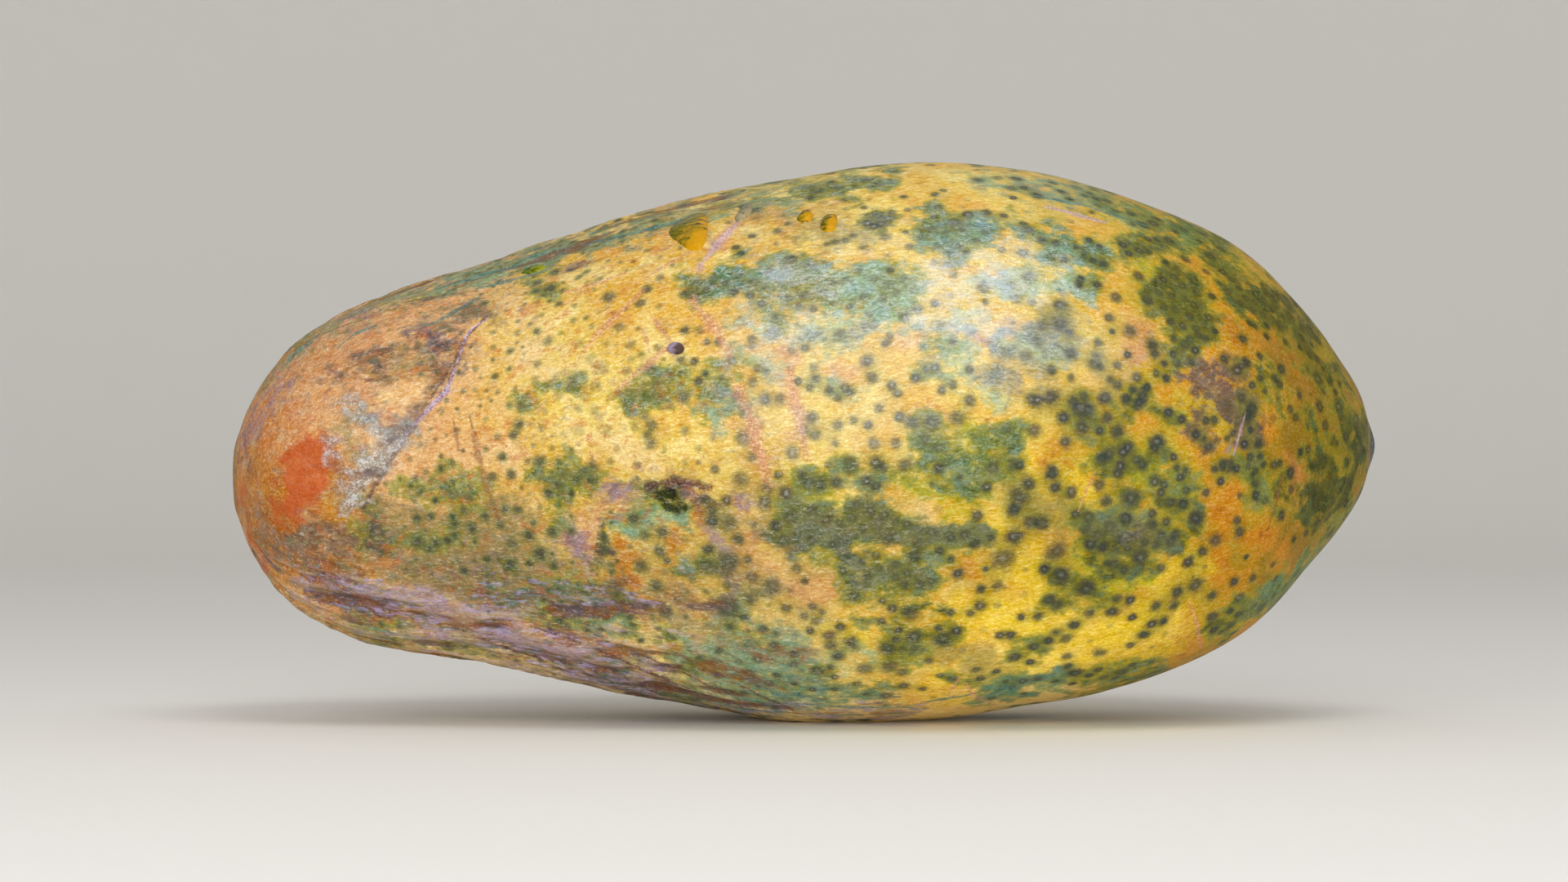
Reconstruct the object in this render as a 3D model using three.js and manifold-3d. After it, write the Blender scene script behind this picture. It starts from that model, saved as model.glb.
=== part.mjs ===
// A ripe papaya of the long, pear-shaped kind, lying on its side.
// It grew as one piece, so it is one solid: a narrow neck at the stem end, a broad belly towards the
// blossom end, five faint lobes, a sunken stem scar, a small blossom nub, folds low on the neck, a crease,
// a wound, a knob, a few hollows and some drops of dried sap.
//
// Millimetres, +Z up. X runs from the stem end to the blossom end. The origin is the middle of the small
// flat spot that the fruit rests on. Places on the skin are given as "along", in millimetres from the stem
// end, and "around", in degrees from the top towards -Y.
import * as THREE from "three";
import { mergeVertices } from "three/addons/utils/BufferGeometryUtils.js";
import Module from "manifold-3d";

// Driving dimensions of the body. The axis height is above the surface that the fruit lies on.
const LENGTH = 280;
const STEM_END = { axisHeight: 59.7, noseRadius: 30 };
const BLOSSOM_END = { axisHeight: 67.2, noseRadius: 18 };
const STATIONS = [
  { along: 12, axisHeight: 60.0, radius: 28.6 },
  { along: 32, axisHeight: 60.6, radius: 41.0 },
  { along: 64, axisHeight: 63.0, radius: 49.3 },
  { along: 112, axisHeight: 65.4, radius: 61.9 },
  { along: 140, axisHeight: 65.9, radius: 66.9 },
  { along: 168, axisHeight: 67.8, radius: 68.2 },
  { along: 196, axisHeight: 68.5, radius: 65.4 },
  { along: 224, axisHeight: 67.6, radius: 58.2 },
  { along: 248, axisHeight: 67.4, radius: 46.5 },
  { along: 264, axisHeight: 67.8, radius: 30.3 },
];
const REST_ALONG = 150; // where the middle of the flat spot is

// Five lobes, one for each seed chamber, strongest near the blossom end.
const LOBES = 5;
const LOBE_PHASE = 0; // where the first lobe is, in degrees around
const BELLY_LOBE_DEPTH = 0.5;
const BLOSSOM_LOBE_DEPTH = 1.5;
const LOBE_PEAK_ALONG = 245;
const LOBE_PEAK_SPREAD = 26;

// The stem scar is a dish with a raised rim and the stub of the stem in it.
const SCAR = { radius: 8, depth: 2.2, rim: 0.4, rimSpread: 2.6, stubRadius: 4.0, stubHeight: 1.4 };
const NUB = { radius: 4, height: 0.4, moatRadius: 7, moatDepth: 0.5 };

// Long folds low on the neck: the path runs through [along, around] points.
const FOLDS = [
  { path: [[28, 127], [50, 134], [72, 141], [94, 146]], height: 1.1, width: 4.2 },
  { path: [[15, 146], [38, 149], [60, 147], [74, 156]], height: 1.2, width: 4.0 },
  { path: [[28, 157], [52, 160], [78, 165], [100, 168]], height: 0.9, width: 4.2 },
  { path: [[26, 138], [50, 141], [70, 148], [96, 153]], height: -0.9, width: 3.6 },
  { path: [[32, 100], [41, 83], [52, 67], [61, 44]], height: -0.7, width: 3.2 },
];

// Broad shallow hollows and swellings: height is negative for a hollow.
const SWELLS = [
  { along: 40, around: 88, reach: 17, height: -1.1 },
  { along: 20, around: 115, reach: 14, height: 0.8 },
  { along: 238, around: 84, reach: 20, height: -0.9 },
  { along: 196, around: 300, reach: 24, height: -1.2 },
  { along: 70, around: 250, reach: 22, height: -1.1 },
  { along: 118, around: 215, reach: 26, height: 0.9 },
  { along: 107, around: 101, reach: 4.5, height: -2.0 },
];

// Lumps stuck on the skin: the knob and the drops of dried sap. Sizes are half lengths along and around.
const LUMPS = [
  { along: 108, around: 65, halfAlong: 2.6, halfAround: 2.4, height: 2.2 },
  { along: 112, around: 30, halfAlong: 4.8, halfAround: 8.5, height: 1.3 },
  { along: 140, around: 32, halfAlong: 2.9, halfAround: 4.2, height: 1.1 },
  { along: 146.5, around: 34.5, halfAlong: 2.7, halfAround: 4.6, height: 1.1 },
  { along: 125.5, around: 26.5, halfAlong: 2.2, halfAround: 4.0, height: 0.8 },
];
const LUMP_SINK = 2.5; // how deep a lump's middle lies in the skin
const LUMP_SIDES = 10;

const RINGS = 64;
const SIDES = 62;
const TRAIL_STEPS = 24; // how finely a fold's path is followed
const STEP = 1e-3; // the small step that normals are measured over

const wasm = await Module();
wasm.setup();

const radians = THREE.MathUtils.degToRad;
const bell = (distance, reach) => Math.exp(-((distance / reach) ** 2));

// A smooth curve through points with rising x: cubic pieces whose slopes come from the neighbours.
function smoothThrough(points) {
  const slope = (i) => {
    const [a, b] = [points[Math.max(i - 1, 0)], points[Math.min(i + 1, points.length - 1)]];
    return (b[1] - a[1]) / (b[0] - a[0]);
  };
  return (x) => {
    const last = points.length - 2;
    const next = points.findIndex((p) => p[0] > x);
    const i = next < 0 ? last : THREE.MathUtils.clamp(next - 1, 0, last);
    const [[x0, y0], [x1, y1]] = [points[i], points[i + 1]];
    const w = x1 - x0;
    const t = (x - x0) / w;
    return (
      y0 * (1 + 2 * t) * (1 - t) ** 2 +
      y1 * t * t * (3 - 2 * t) +
      w * t * (1 - t) * (slope(i) * (1 - t) - slope(i + 1) * t)
    );
  };
}

// The body is an ellipse of revolution whose girth is scaled by a fullness that changes along it.
// The turn runs from 0 at the stem end to pi at the blossom end.
const turnAt = (along) => Math.acos(1 - (2 * along) / LENGTH);
const alongAt = (turn) => (LENGTH * (1 - Math.cos(turn))) / 2;
const noseFullness = (radius) => Math.sqrt(radius / (LENGTH / 2));
const fullness = smoothThrough([
  [0, noseFullness(STEM_END.noseRadius)],
  ...STATIONS.map(({ along, radius }) => {
    const turn = turnAt(along);
    return [turn, radius / ((LENGTH / 2) * Math.sin(turn))];
  }),
  [Math.PI, noseFullness(BLOSSOM_END.noseRadius)],
]);
const axisHeight = smoothThrough([
  [0, STEM_END.axisHeight],
  ...STATIONS.map((station) => [station.along, station.axisHeight]),
  [LENGTH, BLOSSOM_END.axisHeight],
]);

// A point on the smooth body, lobes included.
function bodyPoint(turn, around) {
  const along = alongAt(turn);
  const round = (LENGTH / 2) * fullness(turn) * Math.sin(turn);
  const peak = bell(along - LOBE_PEAK_ALONG, LOBE_PEAK_SPREAD);
  const lobeDepth = THREE.MathUtils.lerp(BELLY_LOBE_DEPTH, BLOSSOM_LOBE_DEPTH, peak) * Math.sin(turn);
  const radius = round + lobeDepth * Math.cos(LOBES * (around - radians(LOBE_PHASE)));
  return new THREE.Vector3(
    along - REST_ALONG,
    -radius * Math.sin(around),
    axisHeight(along) + radius * Math.cos(around),
  );
}

function bodyNormal(turn, around) {
  if (turn < STEP) return new THREE.Vector3(-1, 0, 0);
  if (turn > Math.PI - STEP) return new THREE.Vector3(1, 0, 0);
  const alongStep = bodyPoint(turn + STEP, around).sub(bodyPoint(turn - STEP, around));
  const aroundStep = bodyPoint(turn, around + STEP).sub(bodyPoint(turn, around - STEP));
  return aroundStep.cross(alongStep).normalize();
}

// Millimetres over the skin between a skin place and a feature's [along, around].
function skinDistance(along, around, radius, place) {
  const turned = THREE.MathUtils.euclideanModulo(around - radians(place[1]) + Math.PI, 2 * Math.PI) - Math.PI;
  return Math.hypot(along - place[0], turned * radius);
}

// Each fold with the places that it passes, close together.
const folds = FOLDS.map((fold) => {
  const line = smoothThrough(fold.path);
  const [start, end] = [fold.path[0][0], fold.path[fold.path.length - 1][0]];
  const trail = Array.from({ length: TRAIL_STEPS + 1 }, (_, i) => {
    const along = THREE.MathUtils.lerp(start, end, i / TRAIL_STEPS);
    return [along, line(along)];
  });
  return { ...fold, trail };
});

function foldHeight(fold, along, around, radius) {
  const distances = fold.trail.map((place) => skinDistance(along, around, radius, place));
  const nearest = Math.min(...distances);
  const share = distances.indexOf(nearest) / TRAIL_STEPS;
  return fold.height * bell(nearest, fold.width) * Math.sqrt(Math.sin(Math.PI * share));
}

// How far the skin stands out from the smooth body.
function relief(turn, around) {
  const along = alongAt(turn);
  const radius = Math.max(bodyPoint(turn, 0).z - axisHeight(along), 1);
  const creases = folds.reduce((sum, fold) => sum + foldHeight(fold, along, around, radius), 0);
  const swells = SWELLS.reduce(
    (sum, s) => sum + s.height * bell(skinDistance(along, around, radius, [s.along, s.around]), s.reach),
    0,
  );
  return creases + swells + (along < LENGTH / 2 ? stemScar(radius) : blossomNub(radius));
}

function stemScar(radius) {
  const dish = -SCAR.depth * bell(radius, SCAR.radius) ** 2;
  const rim = SCAR.rim * bell(radius - SCAR.radius, SCAR.rimSpread);
  return dish + rim + SCAR.stubHeight * bell(radius, SCAR.stubRadius);
}

function blossomNub(radius) {
  return NUB.height * bell(radius, NUB.radius) - NUB.moatDepth * bell(radius - NUB.moatRadius, NUB.radius);
}

function skinPoint(turn, around) {
  return bodyPoint(turn, around).addScaledVector(bodyNormal(turn, around), relief(turn, around));
}

// The whole skin as rings of vertices between the two end points.
function skinSolid() {
  const points = [skinPoint(0, 0)];
  for (let ring = 1; ring < RINGS; ring++) {
    for (let side = 0; side < SIDES; side++) {
      points.push(skinPoint((Math.PI * ring) / RINGS, (2 * Math.PI * side) / SIDES));
    }
  }
  points.push(skinPoint(Math.PI, 0));
  const last = points.length - 1;
  const at = (ring, side) => 1 + (ring - 1) * SIDES + (side % SIDES);
  const faces = [];
  for (let side = 0; side < SIDES; side++) {
    faces.push(0, at(1, side + 1), at(1, side));
    for (let ring = 1; ring < RINGS - 1; ring++) {
      faces.push(at(ring, side), at(ring, side + 1), at(ring + 1, side + 1));
      faces.push(at(ring, side), at(ring + 1, side + 1), at(ring + 1, side));
    }
    faces.push(last, at(RINGS - 1, side), at(RINGS - 1, side + 1));
  }
  return solidFrom(points.flatMap((p) => p.toArray()), faces);
}

function solidFrom(positions, faces) {
  return new wasm.Manifold(
    new wasm.Mesh({
      numProp: 3,
      vertProperties: new Float32Array(positions),
      triVerts: new Uint32Array(faces),
    }),
  );
}

// A low round lump, its middle sunk in the skin and its top at the lump's height.
function lumpSolid(lump) {
  const turn = turnAt(lump.along);
  const around = radians(lump.around);
  const normal = bodyNormal(turn, around);
  const alongWay = new THREE.Vector3(1, 0, 0).addScaledVector(normal, -normal.x).normalize();
  const aroundWay = normal.clone().cross(alongWay);
  const centre = skinPoint(turn, around).addScaledVector(normal, -LUMP_SINK);
  const grow = (lump.height + LUMP_SINK) / lump.height; // widens the sunk ball to the stated size at the skin
  const widen = 1 / Math.sqrt(1 - (1 - 1 / grow) ** 2);
  const shape = new THREE.SphereGeometry(1, LUMP_SIDES, LUMP_SIDES - 3);
  shape.scale(lump.halfAlong * widen, lump.halfAround * widen, lump.height + LUMP_SINK);
  shape.applyMatrix4(new THREE.Matrix4().makeBasis(alongWay, aroundWay, normal).setPosition(centre));
  shape.deleteAttribute("normal");
  shape.deleteAttribute("uv");
  const merged = mergeVertices(shape);
  return solidFrom(merged.attributes.position.array, merged.index.array);
}

// Everything below the surface that the fruit lies on.
function groundSolid() {
  const depth = 20;
  const ground = new THREE.BoxGeometry(2 * LENGTH, LENGTH, depth).translate(0, 0, -depth / 2);
  ground.deleteAttribute("normal");
  ground.deleteAttribute("uv");
  const merged = mergeVertices(ground);
  return solidFrom(merged.attributes.position.array, merged.index.array);
}

function geometryOf(solid) {
  const { vertProperties, triVerts } = solid.getMesh();
  const geometry = new THREE.BufferGeometry();
  geometry.setAttribute("position", new THREE.BufferAttribute(vertProperties, 3));
  geometry.setIndex(new THREE.BufferAttribute(triVerts, 1));
  geometry.computeVertexNormals();
  return geometry;
}

function papaya() {
  const whole = LUMPS.reduce((solid, lump) => solid.add(lumpSolid(lump)), skinSolid());
  const skin = new THREE.MeshStandardMaterial({ color: 0xd9a441, roughness: 0.5, metalness: 0 });
  const mesh = new THREE.Mesh(geometryOf(whole.subtract(groundSolid())), skin);
  mesh.name = "papaya";
  return mesh;
}

const fruit = new THREE.Group();
fruit.add(papaya());
export default fruit;
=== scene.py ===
"""A ripe papaya of the long, pear-shaped kind, lying on its side in a plain pale studio.

The fine skin has the same form as the CAD solid that it replaces, built from the same driving dimensions,
with finer relief on top. Lengths are in millimetres until a mesh is made. Places on the skin are given as
"along", in millimetres from the stem end, and "around", in degrees from the top towards -Y. Marks on the
side that faces the camera are given in pixels of the 1920 x 1080 picture, and cast on to the skin.
"""
import math
import random
from itertools import product

import bpy
import numpy as np
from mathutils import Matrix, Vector
from mathutils.kdtree import KDTree


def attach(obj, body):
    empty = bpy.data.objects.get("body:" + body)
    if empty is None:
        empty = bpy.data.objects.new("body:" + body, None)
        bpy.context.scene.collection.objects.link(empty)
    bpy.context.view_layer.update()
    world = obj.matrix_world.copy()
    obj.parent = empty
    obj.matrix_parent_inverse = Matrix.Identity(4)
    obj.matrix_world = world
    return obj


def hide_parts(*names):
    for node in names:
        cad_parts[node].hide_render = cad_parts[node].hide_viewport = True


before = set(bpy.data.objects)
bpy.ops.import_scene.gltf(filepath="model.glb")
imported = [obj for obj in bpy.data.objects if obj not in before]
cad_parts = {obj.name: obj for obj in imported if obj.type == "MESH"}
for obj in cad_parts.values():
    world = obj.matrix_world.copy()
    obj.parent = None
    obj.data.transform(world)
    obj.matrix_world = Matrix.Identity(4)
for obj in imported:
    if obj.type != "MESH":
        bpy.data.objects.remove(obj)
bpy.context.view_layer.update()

MM = 0.001

# Driving dimensions of the body, as in the CAD model.
LENGTH = 280
STEM_END = dict(axis_height=59.7, nose_radius=30)
BLOSSOM_END = dict(axis_height=67.2, nose_radius=18)
STATIONS = [  # along, axis height, radius
    (12, 60.0, 28.6),
    (32, 60.6, 41.0),
    (64, 63.0, 49.3),
    (112, 65.4, 61.9),
    (140, 65.9, 66.9),
    (168, 67.8, 68.2),
    (196, 68.5, 65.4),
    (224, 67.6, 58.2),
    (248, 67.4, 46.5),
    (264, 67.8, 30.3),
]
REST_ALONG = 150
LOBES = 5
BELLY_LOBE_DEPTH = 0.5
BLOSSOM_LOBE_DEPTH = 1.5
LOBE_PEAK_ALONG = 245
LOBE_PEAK_SPREAD = 26
SCAR = dict(radius=8, depth=2.2, rim=0.4, rim_spread=2.6, stub_radius=4.0, stub_height=1.4)
NUB = dict(radius=4, height=0.4, moat_radius=7, moat_depth=0.5)
FOLDS = [  # height, width, path of (along, around)
    (1.1, 4.2, [(28, 127), (50, 134), (72, 141), (94, 146)]),
    (1.2, 4.0, [(15, 146), (38, 149), (60, 147), (74, 156)]),
    (0.9, 4.2, [(28, 157), (52, 160), (78, 165), (100, 168)]),
    (-0.9, 3.6, [(26, 138), (50, 141), (70, 148), (96, 153)]),
    (-0.7, 3.2, [(32, 100), (41, 83), (52, 67), (61, 44)]),
]
SWELLS = [  # along, around, reach, height
    (40, 88, 17, -1.1),
    (20, 115, 14, 0.8),
    (238, 84, 20, -0.9),
    (196, 300, 24, -1.2),
    (70, 250, 22, -1.1),
    (118, 215, 26, 0.9),
    (107, 101, 4.5, -2.0),
]

# How finely the skin is meshed.
RINGS = 268
SIDES = 360
POLE = 1e-3  # the turn from a pole to the vertex that stands for it
ARC_STEPS = 400  # for measuring lengths over the skin
FOLD_STEPS = 40  # for placing a fold along its path

# The camera looks level along +Y. Its picture is taken as 1920 x 1080 pixels.
LENS = 100
SENSOR_WIDTH = 36
PICTURE = (1920, 1080)
CAMERA = np.array([-14.7, -1070.0, 68.4])
FOCAL_PX = PICTURE[0] * LENS / SENSOR_WIDTH

# Patches on the side that faces the camera. Each is a stroke: half its width, then the places on its path,
# in pixels of the picture.
PATCHES = {
    "dull": [
        (34, (950, 620), (985, 690), (1000, 730)), (20, (940, 262), (1020, 268)),
        (20, (1085, 640), (1125, 600)), (26, (345, 640), (400, 690), (470, 740)),
        (34, (470, 700), (600, 730), (720, 760)), (24, (600, 775), (700, 795), (760, 805)),
        (22, (440, 770), (540, 780)), (16, (700, 700), (780, 730)),
    ],
    # Painted sheen: a milky highlight painted into the colour where the skin shines.
    "painted_sheen": [
        (16, (955, 333), (1010, 343)), (26, (1140, 345), (1200, 338), (1265, 352)),
        (18, (1130, 396), (1180, 394), (1220, 392)), (10, (1240, 310), (1290, 330), (1310, 350)),
        (9, (930, 400), (975, 408)), (4, (985, 344), (988, 346)),
    ],
    # Painted haze: a faint milky sheen painted round the painted sheen.
    "painted_haze": [
        (30, (950, 350), (1100, 350)), (34, (1280, 410), (1350, 440)),
        (70, (940, 420), (1080, 420), (1230, 420)), (40, (900, 500), (1000, 520), (1120, 510)),
        (30, (470, 560), (480, 520)), (30, (1060, 300), (1250, 300)),
    ],
    "cream": [
        (6, (1378, 282), (1392, 293)), (12, (640, 440), (700, 450)), (14, (880, 430), (930, 440)),
        (12, (600, 550), (640, 560)), (16, (735, 540), (790, 560)), (10, (1090, 640), (1140, 640)),
        (12, (460, 470), (520, 480)), (8, (400, 500), (430, 530)), (12, (700, 640), (720, 650)),
    ],
    "olive": [
        (18, (1110, 785), (1180, 800), (1230, 830)), (12, (985, 292), (1075, 278)),
        (26, (470, 640), (540, 660), (620, 680)), (22, (500, 700), (600, 710), (700, 715)),
        (18, (430, 620), (470, 630)), (16, (560, 620), (640, 640)), (14, (760, 600), (800, 640)),
        (12, (450, 450), (520, 440)), (10, (520, 400), (600, 385)), (10, (420, 520), (440, 560)),
        (14, (880, 800), (960, 830)), (16, (840, 760), (880, 790)), (18, (1240, 600), (1300, 640)),
        (14, (1290, 640), (1340, 630)),
    ],
    "pit": [
        (9, (821, 600), (824, 622)),
    ],
    "streaky": [
        (22, (385, 712), (480, 742), (560, 760)), (26, (560, 760), (640, 785), (720, 808), (800, 838)),
        (20, (600, 725), (700, 735), (790, 745)), (9, (322, 462), (380, 412), (450, 372), (560, 345)),
        (12, (560, 345), (640, 322), (720, 300), (820, 268), (900, 248), (960, 236)),
        (10, (860, 862), (1000, 872), (1120, 868)), (8, (1350, 240), (1460, 292), (1540, 345)),
    ],
    "flecked": [
        (32, (350, 470), (420, 410), (520, 370)), (24, (410, 470), (500, 440)),
        (34, (470, 640), (560, 650), (660, 660)), (30, (560, 600), (640, 620)),
        (24, (480, 400), (560, 380), (640, 350)), (22, (700, 440), (800, 470)),
        (26, (900, 520), (960, 560)), (30, (840, 720), (900, 780), (960, 820)),
        (26, (1180, 480), (1260, 500)), (24, (1290, 560), (1350, 600), (1440, 610)),
        (24, (1470, 560), (1540, 600)), (16, (340, 520), (380, 470), (440, 420)),
        (16, (330, 600), (420, 610)), (22, (1060, 460), (1140, 470)),
    ],
    "gold": [
        (26, (1190, 750), (1260, 765), (1340, 780), (1420, 760)), (22, (1240, 690), (1275, 720)),
        (18, (1150, 830), (1230, 815), (1330, 800)), (12, (1180, 645), (1230, 650)),
        (12, (1262, 560), (1272, 595)), (14, (1330, 600), (1350, 620)), (16, (1410, 700), (1450, 690)),
        (14, (1030, 770), (1060, 800)),
    ],
    "umber": [
        (20, (330, 650), (370, 680), (430, 700)), (14, (392, 628), (440, 650)),
        (10, (420, 752), (500, 768), (590, 772)), (9, (520, 712), (600, 728)), (10, (700, 812), (780, 838)),
    ],
    "lime": [
        (12, (1335, 246), (1400, 262)), (6, (1420, 246), (1520, 308), (1602, 386), (1652, 468)),
        (14, (1112, 590), (1150, 604), (1182, 598)), (11, (1176, 516), (1194, 536)),
        (10, (1150, 614), (1182, 622)), (12, (1388, 562), (1412, 596), (1440, 606)),
        (12, (1325, 690), (1350, 714), (1400, 708)), (9, (1395, 325), (1414, 345)),
        (9, (1336, 650), (1330, 676)), (10, (545, 605), (560, 620), (585, 600)),
        (10, (1486, 770), (1510, 760)), (9, (1640, 470), (1664, 510)), (10, (985, 340), (1030, 335)),
        (8, (1625, 600), (1650, 560)), (9, (970, 585), (1010, 605)), (9, (1380, 285), (1400, 300)),
        (8, (1560, 350), (1600, 380)), (9, (1290, 640), (1310, 625)),
    ],
    "tan": [
        (16, (820, 705), (846, 738)), (12, (400, 590), (470, 640)), (9, (1400, 395), (1392, 430)),
    ],
    "green": [
        (18, (855, 350), (905, 345), (945, 345)), (26, (950, 338), (1000, 346)),
        (20, (1000, 350), (1060, 350), (1105, 350)), (12, (1060, 374), (1115, 378)),
        (10, (935, 380), (960, 385)), (14, (1130, 275), (1200, 277)), (12, (1140, 298), (1195, 296)),
        (8, (976, 235), (1035, 227), (1090, 222)), (12, (770, 490), (800, 478), (830, 470)),
        (9, (800, 455), (835, 460)), (9, (865, 470), (882, 482)), (9, (855, 510), (890, 505), (905, 500)),
        (7, (880, 442), (900, 445)), (7, (1138, 427), (1158, 427)), (5, (1125, 455), (1160, 450)),
        (9, (1243, 276), (1273, 285)), (17, (1285, 306), (1325, 312)), (7, (1345, 318), (1352, 325)),
        (7, (1290, 350), (1340, 345)), (9, (1240, 347), (1262, 345)), (15, (1140, 525), (1140, 560)),
        (14, (1125, 552), (1160, 560), (1200, 562)), (13, (1195, 545), (1245, 540)),
        (12, (1205, 575), (1240, 560)), (10, (1150, 592), (1190, 592), (1215, 582)),
        (6, (1070, 590), (1110, 585)), (8, (978, 585), (1005, 592)), (8, (1030, 568), (1046, 568)),
        (16, (965, 630), (1015, 630)), (14, (960, 655), (1060, 660)), (20, (1050, 630), (1095, 642)),
        (14, (1020, 680), (1045, 692)), (9, (1035, 710), (1052, 727)), (13, (1080, 700), (1140, 700)),
        (8, (1070, 715), (1120, 722)), (10, (1115, 652), (1130, 674)), (9, (1140, 662), (1180, 655)),
        (8, (1155, 665), (1200, 655)), (9, (1440, 580), (1460, 590)), (6, (1415, 585), (1450, 595)),
        (10, (1532, 570), (1545, 610)), (8, (1515, 745), (1535, 740)),
        (10, (1550, 740), (1580, 715), (1610, 685)), (4, (1610, 680), (1640, 645), (1665, 610)),
        (9, (1205, 846), (1240, 838), (1290, 830)), (7, (1330, 835), (1370, 828), (1415, 818)),
        (6, (1244, 792), (1272, 790)), (8, (905, 790), (950, 797)), (5, (868, 768), (888, 776)),
        (6, (912, 802), (928, 808)), (5, (942, 828), (962, 836)), (5, (878, 830), (902, 838)),
        (6, (988, 820), (1012, 826)), (5, (1090, 800), (1120, 806)), (5, (1170, 830), (1200, 836)),
        (5, (1060, 765), (1085, 770)), (11, (850, 812), (900, 818)), (8, (960, 838), (1010, 842)),
        (9, (800, 840), (850, 856)), (7, (720, 812), (780, 828)), (7, (930, 812), (975, 816)),
        (7, (910, 848), (965, 858)), (4, (995, 845), (1085, 838)), (8, (765, 640), (790, 632)),
        (12, (800, 612), (828, 630)), (8, (845, 690), (872, 692)), (7, (825, 785), (880, 800)),
        (8, (498, 600), (520, 605)), (11, (545, 588), (582, 608)), (7, (500, 660), (522, 664)),
        (6, (545, 655), (562, 658)), (12, (660, 575), (722, 582)), (11, (682, 600), (690, 628)),
        (9, (715, 578), (728, 592)), (9, (670, 475), (708, 466)), (6, (634, 492), (648, 498)),
        (7, (658, 354), (684, 357)), (5, (636, 330), (668, 326)),
        (9, (600, 722), (660, 722), (720, 722), (758, 732)), (7, (630, 745), (700, 752), (770, 768)),
        (6, (440, 768), (490, 782)), (5, (555, 787), (592, 790)), (8, (700, 722), (750, 735)),
    ],
    "teal": [
        (9, (552, 347), (628, 320), (700, 302), (765, 286), (830, 268)),
        (7, (895, 250), (941, 250), (968, 255)), (11, (1203, 221), (1266, 230), (1318, 235), (1346, 245)),
        (10, (1362, 250), (1396, 273)), (14, (925, 330), (960, 330), (1000, 336)),
        (10, (870, 345), (900, 345)), (12, (1136, 288), (1200, 286)), (13, (1285, 300), (1325, 316)),
        (7, (1375, 255), (1460, 290)), (9, (900, 752), (960, 780), (990, 808)),
        (10, (912, 820), (960, 828)), (6, (900, 850), (960, 858)), (10, (1210, 846), (1300, 830)),
        (7, (1560, 740), (1610, 690)), (9, (605, 725), (690, 724)), (6, (700, 770), (760, 775)),
        (7, (1030, 580), (1080, 590)), (8, (1130, 405), (1160, 420)), (7, (1150, 660), (1180, 655)),
        (6, (1340, 640), (1380, 630)), (7, (990, 845), (1080, 850)),
    ],
    "haze": [
        (18, (1040, 345), (1105, 355)), (12, (1010, 385), (1060, 388), (1110, 385)),
        (16, (990, 412), (1045, 412)), (16, (1225, 420), (1300, 430)), (10, (1175, 425), (1190, 450)),
        (9, (1172, 392), (1200, 400)), (12, (1240, 345), (1320, 350)), (9, (1190, 345), (1205, 350)),
        (9, (898, 398), (930, 405)), (8, (925, 450), (950, 455)), (8, (1000, 470), (1040, 480)),
        (9, (1215, 470), (1225, 500)), (9, (858, 500), (880, 520)), (8, (1400, 640), (1425, 660)),
        (9, (765, 640), (830, 636)), (11, (850, 790), (900, 806), (980, 812)),
        (10, (860, 842), (900, 850), (990, 862)), (9, (1005, 800), (1060, 806)),
    ],
    "dark": [
        (7, (1371, 303), (1408, 309)), (5, (1399, 294), (1437, 296)), (14, (1420, 347), (1450, 347)),
        (17, (1414, 366), (1460, 375)), (15, (1442, 396), (1472, 400)), (11, (1450, 415), (1440, 444)),
        (8, (1502, 330), (1516, 345)), (13, (1508, 358), (1545, 372)), (12, (1530, 380), (1570, 395)),
        (8, (1588, 415), (1605, 440), (1622, 455)), (4, (1585, 388), (1602, 400)),
        (8, (1322, 492), (1328, 520)), (6, (1346, 516), (1349, 530)), (8, (1378, 495), (1402, 489)),
        (6, (1424, 510), (1438, 506)), (8, (1340, 560), (1360, 570)), (6, (1376, 546), (1380, 574)),
        (8, (1392, 560), (1418, 560)), (9, (1325, 640), (1370, 642)), (14, (1335, 665), (1398, 665)),
        (12, (1402, 652), (1438, 664)), (7, (1352, 696), (1398, 696)), (6, (1425, 618), (1454, 618)),
        (7, (1287, 697), (1302, 706)), (6, (1284, 735), (1308, 738)), (7, (1322, 720), (1348, 724)),
        (5, (1380, 608), (1392, 614)), (7, (1462, 635), (1468, 648)),
        (10, (1650, 505), (1656, 560), (1648, 610)), (14, (1620, 555), (1624, 600), (1608, 630)),
        (6, (1636, 450), (1648, 490)), (7, (1440, 268), (1500, 305)), (7, (1556, 350), (1610, 410)),
        (9, (1606, 606), (1640, 592)), (7, (1626, 550), (1619, 584)), (6, (1636, 470), (1650, 500)),
        (5, (1600, 500), (1612, 530)), (6, (1590, 630), (1612, 640)), (5, (1565, 590), (1575, 606)),
        (5, (1560, 480), (1566, 500)), (5, (1546, 450), (1560, 462)), (5, (1625, 640), (1640, 620)),
        (6, (1480, 318), (1500, 326)), (6, (1480, 770), (1498, 770)), (8, (1090, 790), (1112, 795)),
        (8, (1122, 781), (1172, 776)), (6, (1108, 750), (1150, 745)), (10, (450, 642), (466, 668)),
        (6, (1065, 272), (1086, 274)), (9, (815, 598), (825, 618)), (4, (738, 652), (740, 688)),
    ],
    "grey": [
        (11, (1258, 412), (1296, 428)), (10, (1205, 455), (1250, 472)), (8, (1216, 425), (1252, 440)),
        (6, (425, 502), (460, 513), (505, 521)), (7, (1668, 512), (1674, 552)),
        (12, (1000, 414), (1045, 408)), (8, (1246, 445), (1280, 450)), (8, (1285, 395), (1308, 390)),
        (5, (1300, 374), (1306, 374)), (7, (888, 685), (902, 692)), (7, (916, 716), (950, 724)),
        (8, (1418, 430), (1445, 445)), (24, (990, 640), (1030, 650)), (12, (930, 650), (970, 672)),
        (22, (1060, 625), (1085, 645)), (14, (1035, 685), (1055, 705)), (12, (1110, 660), (1175, 655)),
        (8, (1190, 650), (1215, 665)), (13, (1345, 650), (1420, 660)), (9, (1090, 700), (1125, 705)),
    ],
    "orange": [
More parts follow.
